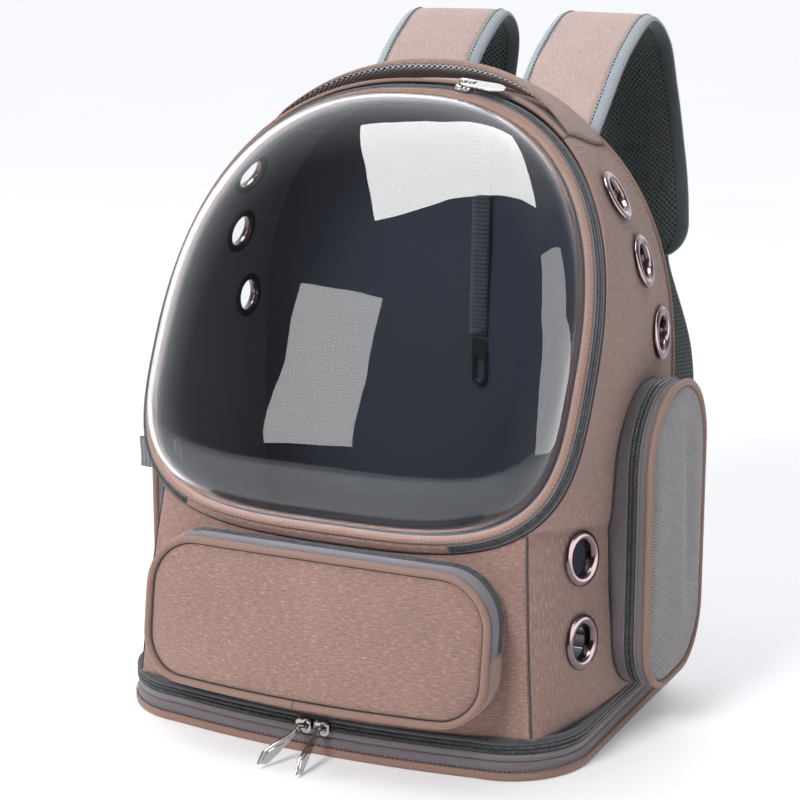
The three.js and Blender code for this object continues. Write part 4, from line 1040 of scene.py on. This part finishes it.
outer_rows = dome_rows(3.8, BUBBLE_DEPTH)
inner_rows = dome_rows(5.8, BUBBLE_DEPTH - BUBBLE_WALL)
skirt = [row - forward(row[:, 2]) * DOME_SKIRT for row in (outer_rows[0], inner_rows[0])]
P = np.stack(outer_rows[::-1] + skirt + inner_rows)
count = len(ROUND)
last, tip = (len(P) - 1) * count, len(P) * count
crowns = [dome_crown(depth) for depth in (BUBBLE_DEPTH, BUBBLE_DEPTH - BUBBLE_WALL)]
points = np.concatenate([P.reshape(-1, 3), crowns])
faces, cells = grid_faces(len(P), count, False, True)
uv = grid_uv(P, cells, False, True, False).reshape(-1, 2)
polys = faces.tolist() + [[(j + 1) % count, j, tip] for j in range(count)] \
    + [[last + j, last + (j + 1) % count, tip + 1] for j in range(count)]
dome = make("bubble_dome", points, polys, np.concatenate([uv, np.zeros((6 * count, 2))]), CLEAR)
dress(outward_facing(dome), "bubble")

# Front pocket
POCKET_MID = (POCKET_LOW + POCKET_HIGH) / 2
POCKET_ROUND = rounded(POCKET_HALF, POCKET_LOW, POCKET_HIGH, POCKET_CORNER_LOW, POCKET_CORNER_HIGH)
POCKET_FACE = [(1.0, 0), (0.985, 0.9), (0.96, 1.7), (0.92, 2.4), (0.86, 3.0), (0.78, 3.5), (0.68, 3.8),
               (0.56, 4.0), (0.42, 4.1), (0.28, 4.2), (0.14, 4.2), (0.02, 4.2)]
TAPE_ROWS = [(-6.8, -0.6), (-6.8, 0.5), (-3.0, 1.1), (2.0, 1.5), (6.6, 0.8), (6.8, -0.6)]
TAB_ROWS = [(-10.6, -1.2), (-10.6, 0.4), (-6, 1.3), (6, 1.3), (10.4, 0.4), (10.4, -1.2)]
GUSSET_STEPS = 9
pocket_edge, pocket_out = edge_frame(POCKET_ROUND, 220)
out = vec(pocket_out[:, 0], 0, pocket_out[:, 1])
up = np.broadcast_to(FRONTWARD, out.shape)


def pocket_ring(inset, depth, share=1.0):
    """The pocket's outline drawn in by inset, and standing depth in front of the body."""
    x, z = (pocket_edge - pocket_out * inset).T
    x, z = x * share, mix(POCKET_MID, z, share)
    return vec(x, front_y(x, z) - depth, z)


rows = []
for share, rise in POCKET_FACE:
    row = pocket_ring(3.4, 0, share) + FRONTWARD * (POCKET_DEPTH - 3.2 + rise)
    wave = wobble(row, 34.0, (5, 1, 2)) * 1.1 * min(1, (1 - share) * 9)
    rows.append(row + FRONTWARD * wave[:, None])
face = surface("front_pocket_face", np.stack(rows), BROWN, (False, True), caps=True)
planar_uv(face, 0, 2)
dress(face, "front_pocket")
depths = np.linspace(-1.0, POCKET_DEPTH - 2.6, GUSSET_STEPS)
sags = 0.39 * np.sin(np.linspace(0, np.pi, GUSSET_STEPS))
gusset = shell("front_pocket_gusset", [pocket_ring(sag - 0.4, depth) for depth, sag in zip(depths, sags)],
               [pocket_ring(1.8, depth) for depth in depths], [BROWN, LINING], wrap_b=True)
dress(gusset)
piping_at = pocket_ring(0.9, POCKET_DEPTH - 1.5)
dress(tube("front_pocket_trim", piping_at, out, up, circle(2.5, 12), BROWN_TRIM),
      "front_pocket_piping")
dress(tube("front_pocket_crease", pocket_ring(3.7, POCKET_DEPTH - 2.6), out, up, circle(0.7, 6), GREY_THREAD))
# The piping's two ends meet under the pocket
joint = stretch(pocket_edge, (-4, POCKET_LOW), (-4, POCKET_LOW))[0]
turn = np.linspace(0, 2 * np.pi, 25)[:-1, None]
away = np.cos(turn) * out[joint] + np.sin(turn) * up[joint]
dress(tube("front_pocket_joint", piping_at[joint] + 2.45 * away, unit(away),
           np.broadcast_to(np.cross(out[joint], up[joint]), away.shape), circle(0.35, 6), GREY_THREAD))

span = stretch(pocket_edge, (POCKET_HALF, 84), (22 - POCKET_HALF, POCKET_HIGH - 6))
dress(tube("front_pocket_tape", pocket_ring(-0.55, POCKET_DEPTH - 10.5)[span], up[span], out[span], TAPE_ROWS,
           GREY_TAPE, False))
zip_up(zip_chain("front_pocket_chain", pocket_ring(-1.0, POCKET_DEPTH - 20.0)[span], up[span], out[span], 4.0,
                 False, DARK_TAPE, wide=2.4), "front_pocket_zip")
for k, (end, reach) in enumerate(((span[0], range(-16, 3)), (span[-1], range(-2, 13)))):
    part = (end + np.array(reach)) % len(pocket_edge)
    dress(tube(f"front_pocket_tab_{k}", pocket_ring(-0.9, POCKET_DEPTH - 13.5)[part], up[part], out[part],
               TAB_ROWS, BROWN, False))

# Side pockets
SIDE_MID = (SIDE_FRONT + SIDE_BACK) / 2
SIDE_HALF = (SIDE_BACK - SIDE_FRONT) / 2
SIDE_CENTRE = (SIDE_LOW + SIDE_HIGH) / 2
SIDE_FACE = [(1.0, -1.2), (0.985, 0.2), (0.96, 1.0), (0.92, 1.6), (0.86, 2.1), (0.78, 2.5), (0.68, 2.8),
             (0.56, 3.0), (0.44, 3.1), (0.32, 3.2), (0.2, 3.2), (0.1, 3.2), (0.02, 3.2)]
SIDE_ROUND = rounded(SIDE_HALF, SIDE_LOW, SIDE_HIGH, SIDE_CORNER_LOW, SIDE_CORNER_HIGH)
side_edge, side_away = edge_frame(SIDE_ROUND, 200)
side_out = vec(0, side_away[:, 0], side_away[:, 1])
right = np.broadcast_to(RIGHT, side_out.shape)


def side_ring(inset, x, share=1.0):
    """The side pocket's outline drawn in by inset, at a distance out from the middle."""
    y, z = (side_edge - side_away * inset).T
    return vec(x, SIDE_MID + y * share, mix(SIDE_CENTRE, z, share))


def cloth_x(points):
    """How far out the side cloth lies behind each point, from the nearest points of its grid."""
    w, u = np.meshgrid(np.linspace(0, 2.3, 90), np.linspace(0, 1, 60), indexing="ij")
    cloth = side_off(w, u, 0).reshape(-1, 3)
    gap = ((cloth[None, :, 1:] - points[:, None, 1:]) ** 2).sum(-1)
    return cloth[np.argsort(gap, axis=1)[:, :3], 0].mean(1)


foot_x = cloth_x(side_ring(0, 0.0)) - 0.8
rows = []
for share, rise in SIDE_FACE:
    row = side_ring(2.4, SIDE_OUT, share)
    _, y, z = row.T
    crease = (y - (SIDE_MID + 16 + 5 * np.sin((z - 60) / 40))) / 7.5
    fold = -2.2 * np.exp(-crease ** 2) * smooth(z, 60, 120) * (1 - smooth(z, 185, 225))
    row[:, 0] += rise + fold * min(1, (1 - share) * 8) + wobble(row, 30.0) * 1.2 * min(1, (1 - share) * 9)
    rows.append(row)
face_rows = np.stack(rows)
steps = np.linspace(0, 1, GUSSET_STEPS)
outer = np.stack([side_ring(-0.6 * math.sin(math.pi * t), mix(foot_x, SIDE_OUT - 2.0, t)) for t in steps])
inner = np.stack([side_ring(1.8, mix(foot_x, SIDE_OUT - 2.0, t)) for t in steps])
span = stretch(side_edge, (SIDE_HALF * 0.85, SIDE_HIGH - 12), (-SIDE_HALF * 0.7, SIDE_LOW + 8))
for side, s in SIDES:
    gusset = shell(f"side_gusset_{side}", *flipped(s, outer, inner), [GREY, LINING], wrap_b=True)
    dress(gusset, f"side_pocket_{side}_gusset")
    face = surface(f"side_face_{side}", flip(face_rows, s), RIBBED, (False, True), caps=True)
    planar_uv(face, 1, 2)
    dress(face, f"side_pocket_{side}_face")
    out, x = flipped(s, side_out, right)
    trim_at, zip_at = flipped(s, side_ring(0.2, SIDE_OUT - 0.4), side_ring(-0.7, SIDE_OUT - 12.5)[span])
    dress(tube(f"side_trim_{side}", trim_at, out, x, circle(2.5, 12), BROWN_TRIM),
          f"side_pocket_{side}_piping")
    zip_up(zip_chain(f"side_chain_{side}", zip_at, x[span], out[span], 4.8, False, GREY_TAPE, wide=3.0),
           f"side_pocket_{side}_zip")
    dress(tube(f"side_foot_trim_{side}", flip(side_ring(-0.2, foot_x + 1.2), s), out, x, circle(1.2, 8),
               GREY_THREAD))

# Side loop, a folded strip of webbing
LOOP_LINE = [(-160, -30.0), (-176, -30.0), (-186, -29.6), (-191, -28.6), (-192, -27), (-191, -25.4),
             (-186, -24.4), (-176, -24.0), (-160, -24.0)]
LOOP_MIDDLE = (-176, -27, 169)
levels = np.linspace(158, 180, 7)
outer = np.stack([vec(x, y + 0.6 * np.sin(levels / 5), levels) for x, y in LOOP_LINE])
normal = unit(np.cross(np.gradient(outer, axis=0), np.gradient(outer, axis=1)))
inner = outer + normal * np.where(dot(normal, outer - LOOP_MIDDLE) > 0, -1.5, 1.5)
dress(shell("side_loop_strip", outer, inner, [WEBBING, WEBBING]), "side_loop")

# Carry handle, a padded band that rises from the top panel's two ends
HANDLE_SECTION = 28
HANDLE_MESH = (14, 22)
share = np.linspace(0, 1, 90)[:, None]
swell = np.sin(np.pi * share) ** 0.9
edge_in = mix(0.05, 0.17, np.sin(np.pi * share) ** 1.6)
a = np.arange(HANDLE_SECTION) * 2 * np.pi / HANDLE_SECTION
wide = np.sign(np.cos(a)) * np.abs(np.cos(a)) ** 0.75
high = np.sign(np.sin(a)) * np.abs(np.sin(a)) ** 0.8
low_side, high_side = 0.4 + 6.4 * swell, 2.2 + 15.4 * swell
P = side_off(mix(TOP_SEAM + 0.004, 6 - TOP_SEAM - 0.004, share), 0.5 + (0.5 - edge_in) * wide,
             mix(low_side, high_side, (1 + high) / 2))
handle = surface("handle_pad", P, [BROWN, MESH_HANDLE], (False, True), turn=True, caps=True,
                 pick=lambda i, j: np.where((j >= HANDLE_MESH[0]) & (j < HANDLE_MESH[1]), 1, 0))
dress(handle, "carry_handle")
for name, k in zip(("upper", "lower"), HANDLE_MESH):
    line = P[2:-2, k]
    seam(f"handle_seam_{name}", line, unit(line - P[2:-2].mean(1)), 0.45, BROWN_TRIM)
line = P[3:-3, 10]
away = unit(line - P[3:-3].mean(1))
dress(stitches("handle_stitches", line + away * 0.15, away, THREAD))

# Shoulder straps. Each row says how far back, up and aside the strap's middle line has gone
STRAP_ROWS = [(0, -0.3, 0), (0.01, 0, 0), (0.25, 0.45, 0.05), (0.52, 0.82, 0.08), (0.8, 1, 0.12),
              (0.97, 0.84, 0.2), (1, 0.45, 0.36), (0.96, 0, 0.6), (0.88, -0.5, 0.85), (0.8, -1, 1)]
STRAP_START = BACK_OUTER + GAP + STRAP_PAD / 2
STRAP_HALF = STRAP_WIDTH / 2
STRAP_END = 26.0
BINDING_ROWS = [(-7.6, 1, 0.9), (-4.5, 1, 1.2), (-1.6, 1, 1.0), (0.2, 1, 0.35), (0.5, 0, 0.0),
                (0.2, -1, 0.35), (-1.6, -1, 1.0), (-4.5, -1, 1.2), (-7.6, -1, 0.9)]
TIP_ROWS = [(-4.5, 3.2), (-1.5, 3.3), (0.6, 2.2), (1.0, 0), (0.6, -2.2), (-1.5, -3.3), (-4.5, -3.2)]
TACKS = [(62, 8), (88, 6)]


def between(a, b, ta, tb, t):
    return (tb - t) / (tb - ta) * a + (t - ta) / (tb - ta) * b


def curve_through(points, per=14):
    """A centripetal curve through points, as the solids' straps follow."""
    pts = np.concatenate([[2 * points[0] - points[1]], points, [2 * points[-1] - points[-2]]])
    rows = []
    for k in range(1, len(pts) - 2):
        p = pts[k - 1:k + 3]
        at = np.concatenate([[0], np.cumsum(np.linalg.norm(np.diff(p, axis=0), axis=1) ** 0.5)])
        for t in np.linspace(at[1], at[2], per, endpoint=False):
            a = [between(p[i], p[i + 1], at[i], at[i + 1], t) for i in range(3)]
            b = [between(a[i], a[i + 1], at[i], at[i + 2], t) for i in range(2)]
            rows.append(between(b[0], b[1], at[1], at[2], t))
    return np.array(rows + [points[-1]])


keys = np.array([[STRAP_SPACING + STRAP_SPLAY * aside, STRAP_START + STRAP_REACH * back,
                  STRAP_ROOT + rise * (STRAP_RISE if rise > 0 else STRAP_DROP)]
                 for back, rise, aside in STRAP_ROWS])
line = resample(curve_through(keys), 3.0, False)[0]
ahead = unit(np.gradient(line, axis=0))
strap_across = np.array([math.cos(STRAP_YAW), -math.sin(STRAP_YAW), 0])
strap_face = unit(np.cross(ahead, strap_across))
strap_side = unit(np.cross(strap_face, ahead))
run = np.concatenate([[0], np.cumsum(np.linalg.norm(np.diff(line, axis=0), axis=1))])
left_over = run[-1] - run
taper = 1 - np.sqrt(np.clip(1 - (1 - left_over / STRAP_END) ** 2, 0, 1))
narrow = np.where(left_over < STRAP_END, 1 - STRAP_END / STRAP_HALF * taper, 1.0)
puff = np.clip(left_over / 10, 0.25, 1) * np.clip(run / 14, 0.3, 1)
top_sign = 1 if strap_face[len(line) // 3][2] > 0 else -1
strap_top = strap_face * top_sign


def strap_point(across, height):
    """Points along the strap: across its middle line and off its middle plane, clear of the back."""
    at = line + strap_side * (across * narrow)[:, None] + strap_face * height[:, None]
    at[:, 1] = np.maximum(at[:, 1], BACK_OUTER + GAP + 0.8 + height * 0.02)
    return at


def strap_height(across, sign):
    """The pad's crowned section: thin at its edges and full in its middle."""
    share = np.clip((STRAP_HALF - abs(across)) / 15.0, 0, 1)
    return sign * (2.4 + 2.3 * (1 - (1 - share) ** 2)) * puff


def pad_face(sign):
    offsets = np.linspace(7.2 - STRAP_HALF, STRAP_HALF - 7.2, 15)
    return np.stack([strap_point(x, strap_height(x, sign)) for x in offsets], 1)


def binding_rings(edge):
    """The bound edge's section, wrapped round the pad from its top to its underside."""
    rings = []
    for past, sign, extra in BINDING_ROWS:
        x = STRAP_HALF + past
        height = strap_height(x, 1) if past < 0 else 2.2 * puff * (0.75 if sign else 0)
        rings.append(strap_point(edge * x, top_sign * sign * (height + extra * 0.6)))
    inside = strap_height(STRAP_HALF - 8, 1) * 0.6 * top_sign
    rings += [strap_point(edge * (STRAP_HALF - 7.4), height) for height in (-inside, inside)]
    return np.stack(rings, 1)


def spread(direction, like):
    return np.broadcast_to(direction, like.shape)


top_rows = pad_face(top_sign)
uneven = wobble(top_rows.reshape(-1, 3), 26.0).reshape(top_rows.shape[:2]) * 0.8
top_rows = top_rows + strap_top[:, None] * uneven[..., None]
tip = np.array([strap_point(x, puff * 0)[-1] for x in np.linspace(-STRAP_HALF, STRAP_HALF, 21)])
for side, s in SIDES:
    faces = flipped(s, top_rows, pad_face(-top_sign))
    pad = shell(f"strap_pad_{side}", *faces, [BROWN_STRAP, MESH], turn=True)
    dress(pad, f"shoulder_strap_{side}")
    for name, edge in (("a", -1), ("b", 1)):
        # The binding's upper half takes the pale tape, and its lower half and inner wall take the dark copy,
        # as painted shade.
        trim = surface(f"strap_binding_{side}_{name}", flip(binding_rings(edge), s),
                       [PALE_BINDING, DARK_AND_SHADED_BINDING], (False, True), caps=True,
                       pick=lambda i, j: np.where((j <= 3) | (j >= 10), 0, 1))
        dress(trim)
        x = STRAP_HALF - 6.6
        row = strap_point(edge * x, strap_height(x, top_sign) + top_sign * 0.85)
        dress(stitches(f"strap_stitches_{side}_{name}", *flipped(s, row[3:-6], strap_top[3:-6]), GREY_THREAD))
    # The binding goes on round the pad's end
    dress(tube(f"strap_end_{side}", *flipped(s, tip, spread(ahead[-1], tip), spread(strap_top[-1], tip)),
               TIP_ROWS, DARK_AND_SHADED_BINDING, False))
    # Bar tacks on the mesh side, where the webbing is sewn in
    for k, (back_by, stop) in enumerate(TACKS):
        i = int(np.argmin(np.abs(left_over - back_by)))
        row = np.array([strap_point(x, strap_height(x, -top_sign) - top_sign * 0.25)[i]
                        for x in np.linspace(9 - STRAP_HALF, stop, 14)])
        tack_frame = flipped(s, row, spread(ahead[i], row), spread(-strap_top[i], row))
        dress(tube(f"strap_tack_{side}_{k}", *tack_frame, circle(0.9, 6), GREY_THREAD, False))

# Webbing from the straps down to the base
ON_STRAP = STRAP_PAD / 2 + 2 * GAP + 1.0
WEB_FOOT = np.array([140.0, BACK_OUTER + GAP + 1.0, 62.0])
WEB_ROWS = [(0.55, 0.1, 0.3), (0.95, 0.5, 0.6), (1, 0.93, 0.82), (1, 1, 0.9), (1, 1, 1)]
WEB_SECTION = [(-20, -0.9), (-20, 0.9), (-10, 1.0), (0, 1.0), (10, 1.0), (20, 0.9), (20, -0.9), (10, -1.0),
               (0, -1.0), (-10, -1.0)]


def beside(share):
    """A place on the webbing where it still lies on the strap's underside."""
    i = int(np.argmin(np.abs(run - run[-1] * share)))
    return line[i] - strap_face[i] * ON_STRAP


hanging = [mix(beside(1.0), WEB_FOOT, np.array(part)) for part in WEB_ROWS]
web_keys = np.array([beside(0.93), beside(0.965), beside(1.0)] + hanging)
web = resample(curve_through(web_keys), 3.0, False)[0]
web_ahead = unit(np.gradient(web, axis=0))
turning = smooth(np.linspace(0, 1, len(web)), 0.3, 1)[:, None]
web_face = unit(np.cross(web_ahead, unit(mix(strap_across, RIGHT, turning))))
web_side = unit(np.cross(web_face, web_ahead))
for side, s in SIDES:
    web_frame = flipped(s, web, web_side, web_face)
    dress(tube(f"webbing_{side}", *web_frame, WEB_SECTION, WEBBING, False, turn=False),
          f"strap_webbing_{side}")

# Tether and its snap hook, in the cabin
TETHER_X = 17.0
TETHER_TOP = 398.0
TETHER_LENGTH = 150.0
TETHER_Y = BACK_FACE - 1.4
levels = np.linspace(TETHER_TOP, TETHER_TOP - TETHER_LENGTH, 60)
hang = TETHER_TOP - levels
bow = 2.2 * np.sin(hang / TETHER_LENGTH * np.pi)
at = vec(TETHER_X + 1.4 * np.sin(hang / 34), TETHER_Y - bow, levels)
dress(tube("tether_strip", at, spread(RIGHT, at), spread(FRONTWARD, at),
           [(-7, -0.7), (-7, 0.7), (0, 0.9), (7, 0.7), (7, -0.7)], TETHER_CLOTH, False, turn=False),
      "tether_webbing")
UPRIGHT = (RIGHT, UP, FRONTWARD)
snap = [rounded(6, -36, 0, 5.4, 4.0, 8), rounded(3.1, -33, -14, 2.9, 2.9, 8)]
dress(plate("tether_snap", snap, 4.0, 1.2, UPRIGHT, (TETHER_X, TETHER_Y - 0.7, 245.7), BLACK, "carrier"),
      "tether_clip")

# Zip sliders and pulls
SLIDER_ROWS = [(0.9, 0.1), (1.0, 0.7), (1.0, 1.3), (0.86, 1.5), (0.86, 2.2), (1.0, 2.4), (1.0, 3.2),
               (0.95, 3.8), (0.82, 4.0)]
CROWN_HALF = [(3.9, 3.6), (3.95, 5.4), (3.6, 6.9), (2.4, 7.8), (0.8, 8.05)]
CROWN_ROWS = [(1.2, 0.25), (0.8, 0.55), (0, 0.62), (-0.8, 0.55), (-1.2, 0.25), (-1.2, -0.3), (0, -0.5),
              (1.2, -0.3)]
PULL_THICK = 1.8
PULL_BEVEL = 0.5


def slider(name, origin, axes, node):
    """A moulded slider: a two-lobed body and an arched crown over the pull's bar."""
    x, y, z = axes

    def place(a, b, c):
        return np.array(origin) + a * x + b * y + c * z

    outline = []
    for a in np.linspace(0, 2 * np.pi, 41)[:-1]:
        px, py = oval(a, 1.0, 1.0, 3.2)
        waist = 1 - 0.16 * math.exp(-((px * 6 + 1.2) / 2.2) ** 2)
        outline.append((6.0 * px, 5.5 * py * waist))
    rings = [[place(px * scale, py * scale, h) for px, py in outline] for scale, h in SLIDER_ROWS]
    body = sharp(surface(name + "_body", rings, CHROME, (False, True), caps=True), 55)
    arc = CROWN_HALF + [(-a, b) for a, b in CROWN_HALF[::-1]]
    at = np.array([place(*q) for q in curve_through(np.array([[a, 0, b] for a, b in arc]), 5)])
    across = spread(y, at)
    out = unit(np.cross(unit(np.gradient(at, axis=0)), across))
    dress(body, node)
    dress(tube(name + "_crown", at, across, out, CROWN_ROWS, CHROME, False))


def smooth_outline(points, count=7):
    """A closed outline rounded through its points."""
    pts = np.array(points, float)
    n = len(pts)
    rows = []
    for k in range(n):
        p0, p1, p2, p3 = pts[k - 1], pts[k], pts[(k + 1) % n], pts[(k + 2) % n]
        for t in np.linspace(0, 1, count, endpoint=False):
            bend = (2 * p0 - 5 * p1 + 4 * p2 - p3) * t * t + (3 * p1 - p0 - 3 * p2 + p3) * t ** 3
            rows.append(0.5 * (2 * p1 + (p2 - p0) * t + bend))
    return rows


SLIDER_X = 6.8
SLIDER_Y = 1.5 - BASE_FRONT
SLIDER_Z = BASE_ZIP_Z - 1.1
PULL_LEAN = math.radians(64)
PULL_YAW = {"right": math.radians(3), "left": math.radians(-22)}
PULL_HALF = [(-1.9, 3.3), (-3.3, 1.9), (-3.5, -0.5), (-2.5, -4.5), (-2.3, -8), (-3.4, -13), (-5.0, -22),
             (-6.0, -31), (-5.6, -33.5)]
FACET = [(0, -15), (-2.7, -24), (-3.9, -31.2), (0, -36.2), (3.9, -31.2), (2.7, -24)]
pull_outline = PULL_HALF + [(0, -39.8)] + [(-a, b) for a, b in PULL_HALF[::-1]]
eye = circle(2.15, 24)
for side, s in SIDES:
    slider(f"base_slider_{side}_metal", (s * SLIDER_X, SLIDER_Y, SLIDER_Z), UPRIGHT, f"base_slider_{side}")
    yaw, body = PULL_YAW[side], f"{side}_base_pull"
    forth = math.cos(yaw)
    down = np.array([math.sin(yaw), -forth * math.sin(PULL_LEAN), -forth * math.cos(PULL_LEAN)])
    face = unit(RIGHT - down * down[0])
    axes = (np.cross(-down, face), -down, face)
    pivot = (s * SLIDER_X, SLIDER_Y - 8.0, SLIDER_Z)
    dress(plate(f"base_pull_{side}_metal", [pull_outline, eye], PULL_THICK, PULL_BEVEL, axes, pivot, CHROME,
                body), f"base_pull_{side}")
    dress(plate(f"base_pull_{side}_facet", [FACET], 2.7, 0.7, axes, pivot, CHROME, body))

DOOR_SLIDER = math.pi / 2 - 0.2
RING_OUTLINE = [(-0.9, -4.6), (-0.9, 4.6), (6, 5.2), (14, 5.6), (24, 6.0), (30, 3.6), (32, 0), (30, -3.6),
                (24, -6.0), (14, -5.6), (6, -5.2)]
RING_HOLE = [(1.0, -2.3), (1.0, 2.3), (8.6, 2.3), (8.6, -2.3)]
along = unit(rim(DOOR_SLIDER - 0.01) - rim(DOOR_SLIDER + 0.01))
near, far = rim_off(DOOR_SLIDER, 3.5, -0.6), rim_off(DOOR_SLIDER, 8.2, 4.0)
away = unit(np.cross(along, unit(far - near)))
axes = (along, np.cross(away, along), away)
seat = (near + far) / 2 + away * 0.9
slider("door_slider_metal", seat, axes, "door_slider")
loops = [smooth_outline(RING_OUTLINE), smooth_outline(RING_HOLE, 4)]
dress(plate("door_pull_metal", loops, PULL_THICK, PULL_BEVEL, axes, seat + away * 5.7, CHROME,
            "bubble_zip_pull"), "door_pull")


# Studio: a pale floor and a sky that is dark where the bubble would mirror it
def stage_mesh(name, points, faces, mat):
    mesh = bpy.data.meshes.new(name)
    mesh.from_pydata(points, [], faces)
    mesh.materials.append(mat)
    obj = bpy.data.objects.new(name, mesh)
    bpy.context.scene.collection.objects.link(obj)
    return obj


def floor_paint(name):
    mat, tree, bsdf = material(name, 0.55, spec=0.3)
    g = Graph(tree)
    g.join(g.ramp(g.noise(g.solid(3)), [(0.3, (0.9, 0.9, 0.91)), (0.7, (0.93, 0.93, 0.94))]),
           bsdf.inputs["Base Color"])
    bsdf.inputs["Emission Color"].default_value = (0.96, 0.97, 1.0, 1)
    bsdf.inputs["Emission Strength"].default_value = 0.16
    return mat


FLOOR = 9
stage_mesh("studio_floor", [(-FLOOR, -FLOOR, 0), (FLOOR, -FLOOR, 0), (FLOOR, FLOOR, 0), (-FLOOR, FLOOR, 0)],
           [(0, 1, 2, 3)], floor_paint("studio_floor"))
world = bpy.data.worlds.new("studio")
bpy.context.scene.world = world
world.use_nodes = True
sky = Graph(world.node_tree)
directions = sky.add("ShaderNodeTexCoord").outputs["Generated"]


def lobe(towards, start, stop, low, high):
    """A level that runs from low to high as the sky's direction turns to one side."""
    turn = sky.add("ShaderNodeVectorMath", operation="DOT_PRODUCT")
    turn.inputs[1].default_value = towards
    sky.join(directions, turn.inputs[0])
    level = sky.add("ShaderNodeMapRange")
    for name, value in (("From Min", start), ("From Max", stop), ("To Min", low), ("To Max", high)):
        level.inputs[name].default_value = value
    sky.join(turn.outputs["Value"], level.inputs["Value"])
    return level.outputs["Result"]


FRONT_LOBE = ((-0.30, -0.84, 0.45), 0.30, 0.80, 1.70, 0.08)
FLANK_LOBE = ((0.96, -0.25, 0.10), -0.05, 0.65, 1.0, 0.12)
SEEN_SKY = 0.98
backdrop = world.node_tree.nodes["Background"]
backdrop.inputs["Color"].default_value = (0.97, 0.98, 1.0, 1)
seen = sky.add("ShaderNodeMix")
seen.inputs[3].default_value = SEEN_SKY
sky.join(sky.add("ShaderNodeLightPath").outputs["Is Camera Ray"], seen.inputs[0])
sky.join(sky.math("MULTIPLY", lobe(*FRONT_LOBE), lobe(*FLANK_LOBE)), seen.inputs[2])
sky.join(seen.outputs[0], backdrop.inputs["Strength"])

# The photograph's camera. FOCAL is in pixels of its PICTURE by PICTURE frame
PICTURE = 800.0
FOCAL = 2187.0
DISTANCE = 1554.0
AZIMUTH = math.radians(25.56)
ELEVATION = math.radians(13.69)
TARGET = Vector((0, 13.5, 218.39))
AIM_RIGHT = 0.45
SENSOR = 36.0
right_dir = Vector((math.cos(AZIMUTH), math.sin(AZIMUTH), 0))
back_dir = Vector((math.sin(AZIMUTH) * math.cos(ELEVATION),
                   -math.cos(AZIMUTH) * math.cos(ELEVATION),
                   math.sin(ELEVATION)))
up_dir = back_dir.cross(right_dir)
camera_data = bpy.data.cameras.new("camera")
camera_data.sensor_width = SENSOR
camera_data.lens = SENSOR * FOCAL / PICTURE
camera_data.clip_start = 0.01
camera_data.clip_end = 50
camera = bpy.data.objects.new("camera", camera_data)
camera.location = (TARGET + right_dir * AIM_RIGHT + back_dir * DISTANCE) * MM
camera.rotation_mode = "QUATERNION"
camera.rotation_quaternion = (-back_dir).to_track_quat("-Z", "Y")
bpy.context.scene.collection.objects.link(camera)
bpy.context.scene.camera = camera
bpy.context.scene.view_settings.view_transform = "Standard"

dome_corners = dome.data.vertices
dome_faces = [tuple(face.vertices) for face in dome.data.polygons]
dome_tree = BVHTree.FromPolygons([corner.co for corner in dome_corners], dome_faces)


def reflected(across, down, reach):
    """What the bubble mirrors at a point of the picture, in pixels: the place `reach` metres from it."""
    half = PICTURE / 2
    ray = (right_dir * (across - half) - up_dir * (down - half)) / FOCAL - back_dir
    ray.normalize()
    spot, _, face, _ = dome_tree.ray_cast(camera.location, ray)
    corners = [dome_corners[i] for i in dome_faces[face]]
    weights = poly_3d_calc([corner.co for corner in corners], spot)
    normal = Vector()
    for corner, weight in zip(corners, weights):
        normal += corner.normal * weight
    return spot + ray.reflect(normal.normalized()) * reach


# Bright cards, which show only as reflections in the bubble and the metal. Each has its strength,
# its distance from the bubble in metres, and rows of the picture points where it is seen, in pixels
WINDOW_SEEN = [[(362, 125), (440, 122), (512, 136)],
               [(367, 168), (446, 160), (528, 172)],
               [(375, 221), (450, 200), (536, 208)]]
PANE_SEEN = [[(300, 283), (382, 298)],
             [(283, 362), (368, 372)],
             [(264, 443), (353, 447)]]
STRIPE_SEEN = [[(541, 256), (560, 248)],
               [(541, 320), (566, 318)],
               [(539, 390), (567, 390)],
               [(535, 455), (556, 450)]]
CARDS = [("window_card", 19.0, 1.3, WINDOW_SEEN),
         ("pane_card", 8.0, 1.6, PANE_SEEN),
         ("stripe_card", 6.0, 0.9, STRIPE_SEEN)]
for name, strength, reach, seen_at in CARDS:
    glow = bpy.data.materials.new(name)
    glow.use_nodes = True
    nodes = glow.node_tree.nodes
    nodes.remove(nodes["Principled BSDF"])
    emission = nodes.new("ShaderNodeEmission")
    emission.inputs["Strength"].default_value = strength
    glow.node_tree.links.new(emission.outputs[0], nodes["Material Output"].inputs["Surface"])
    wide = len(seen_at[0])
    quads = [(i * wide + j, i * wide + j + 1, (i + 1) * wide + j + 1, (i + 1) * wide + j)
             for i in range(len(seen_at) - 1) for j in range(wide - 1)]
    corners = [reflected(across, down, reach) for row in seen_at for across, down in row]
    card = stage_mesh(name, corners, quads, glow)
    card.visible_camera = card.visible_diffuse = card.visible_shadow = card.visible_transmission = False

# Soft lights that no reflection shows: name, centre, width axis, height axis, size and radiance
LIGHTS = [
    ("key", (-0.45, -1.9, 1.8), (0.97, -0.23, 0.0), (0.16, 0.68, 0.72), (0.8, 0.8), 23.0),
    ("fill", (-2.3, -0.6, 1.1), (0.25, -0.97, 0.0), (0.36, 0.09, 0.93), (0.9, 1.1), 2.0)]
for name, centre, x, y, size, radiance in LIGHTS:
    data = bpy.data.lights.new(name, "AREA")
    data.shape, data.size, data.size_y = "RECTANGLE", *size
    data.energy = radiance * size[0] * size[1] * math.pi
    x, y = Vector(x).normalized(), Vector(y)
    y = (y - x * x.dot(y)).normalized()
    z = x.cross(y)
    # An area light shines along its own -z, so its z points away from the part
    if z.dot(Vector(centre)) < 0:
        x, z = -x, -z
    light = bpy.data.objects.new(name, data)
    light.matrix_world = Matrix.Translation(centre) @ Matrix((x, y, z)).transposed().to_4x4()
    light.visible_glossy = light.visible_transmission = False
    bpy.context.scene.collection.objects.link(light)
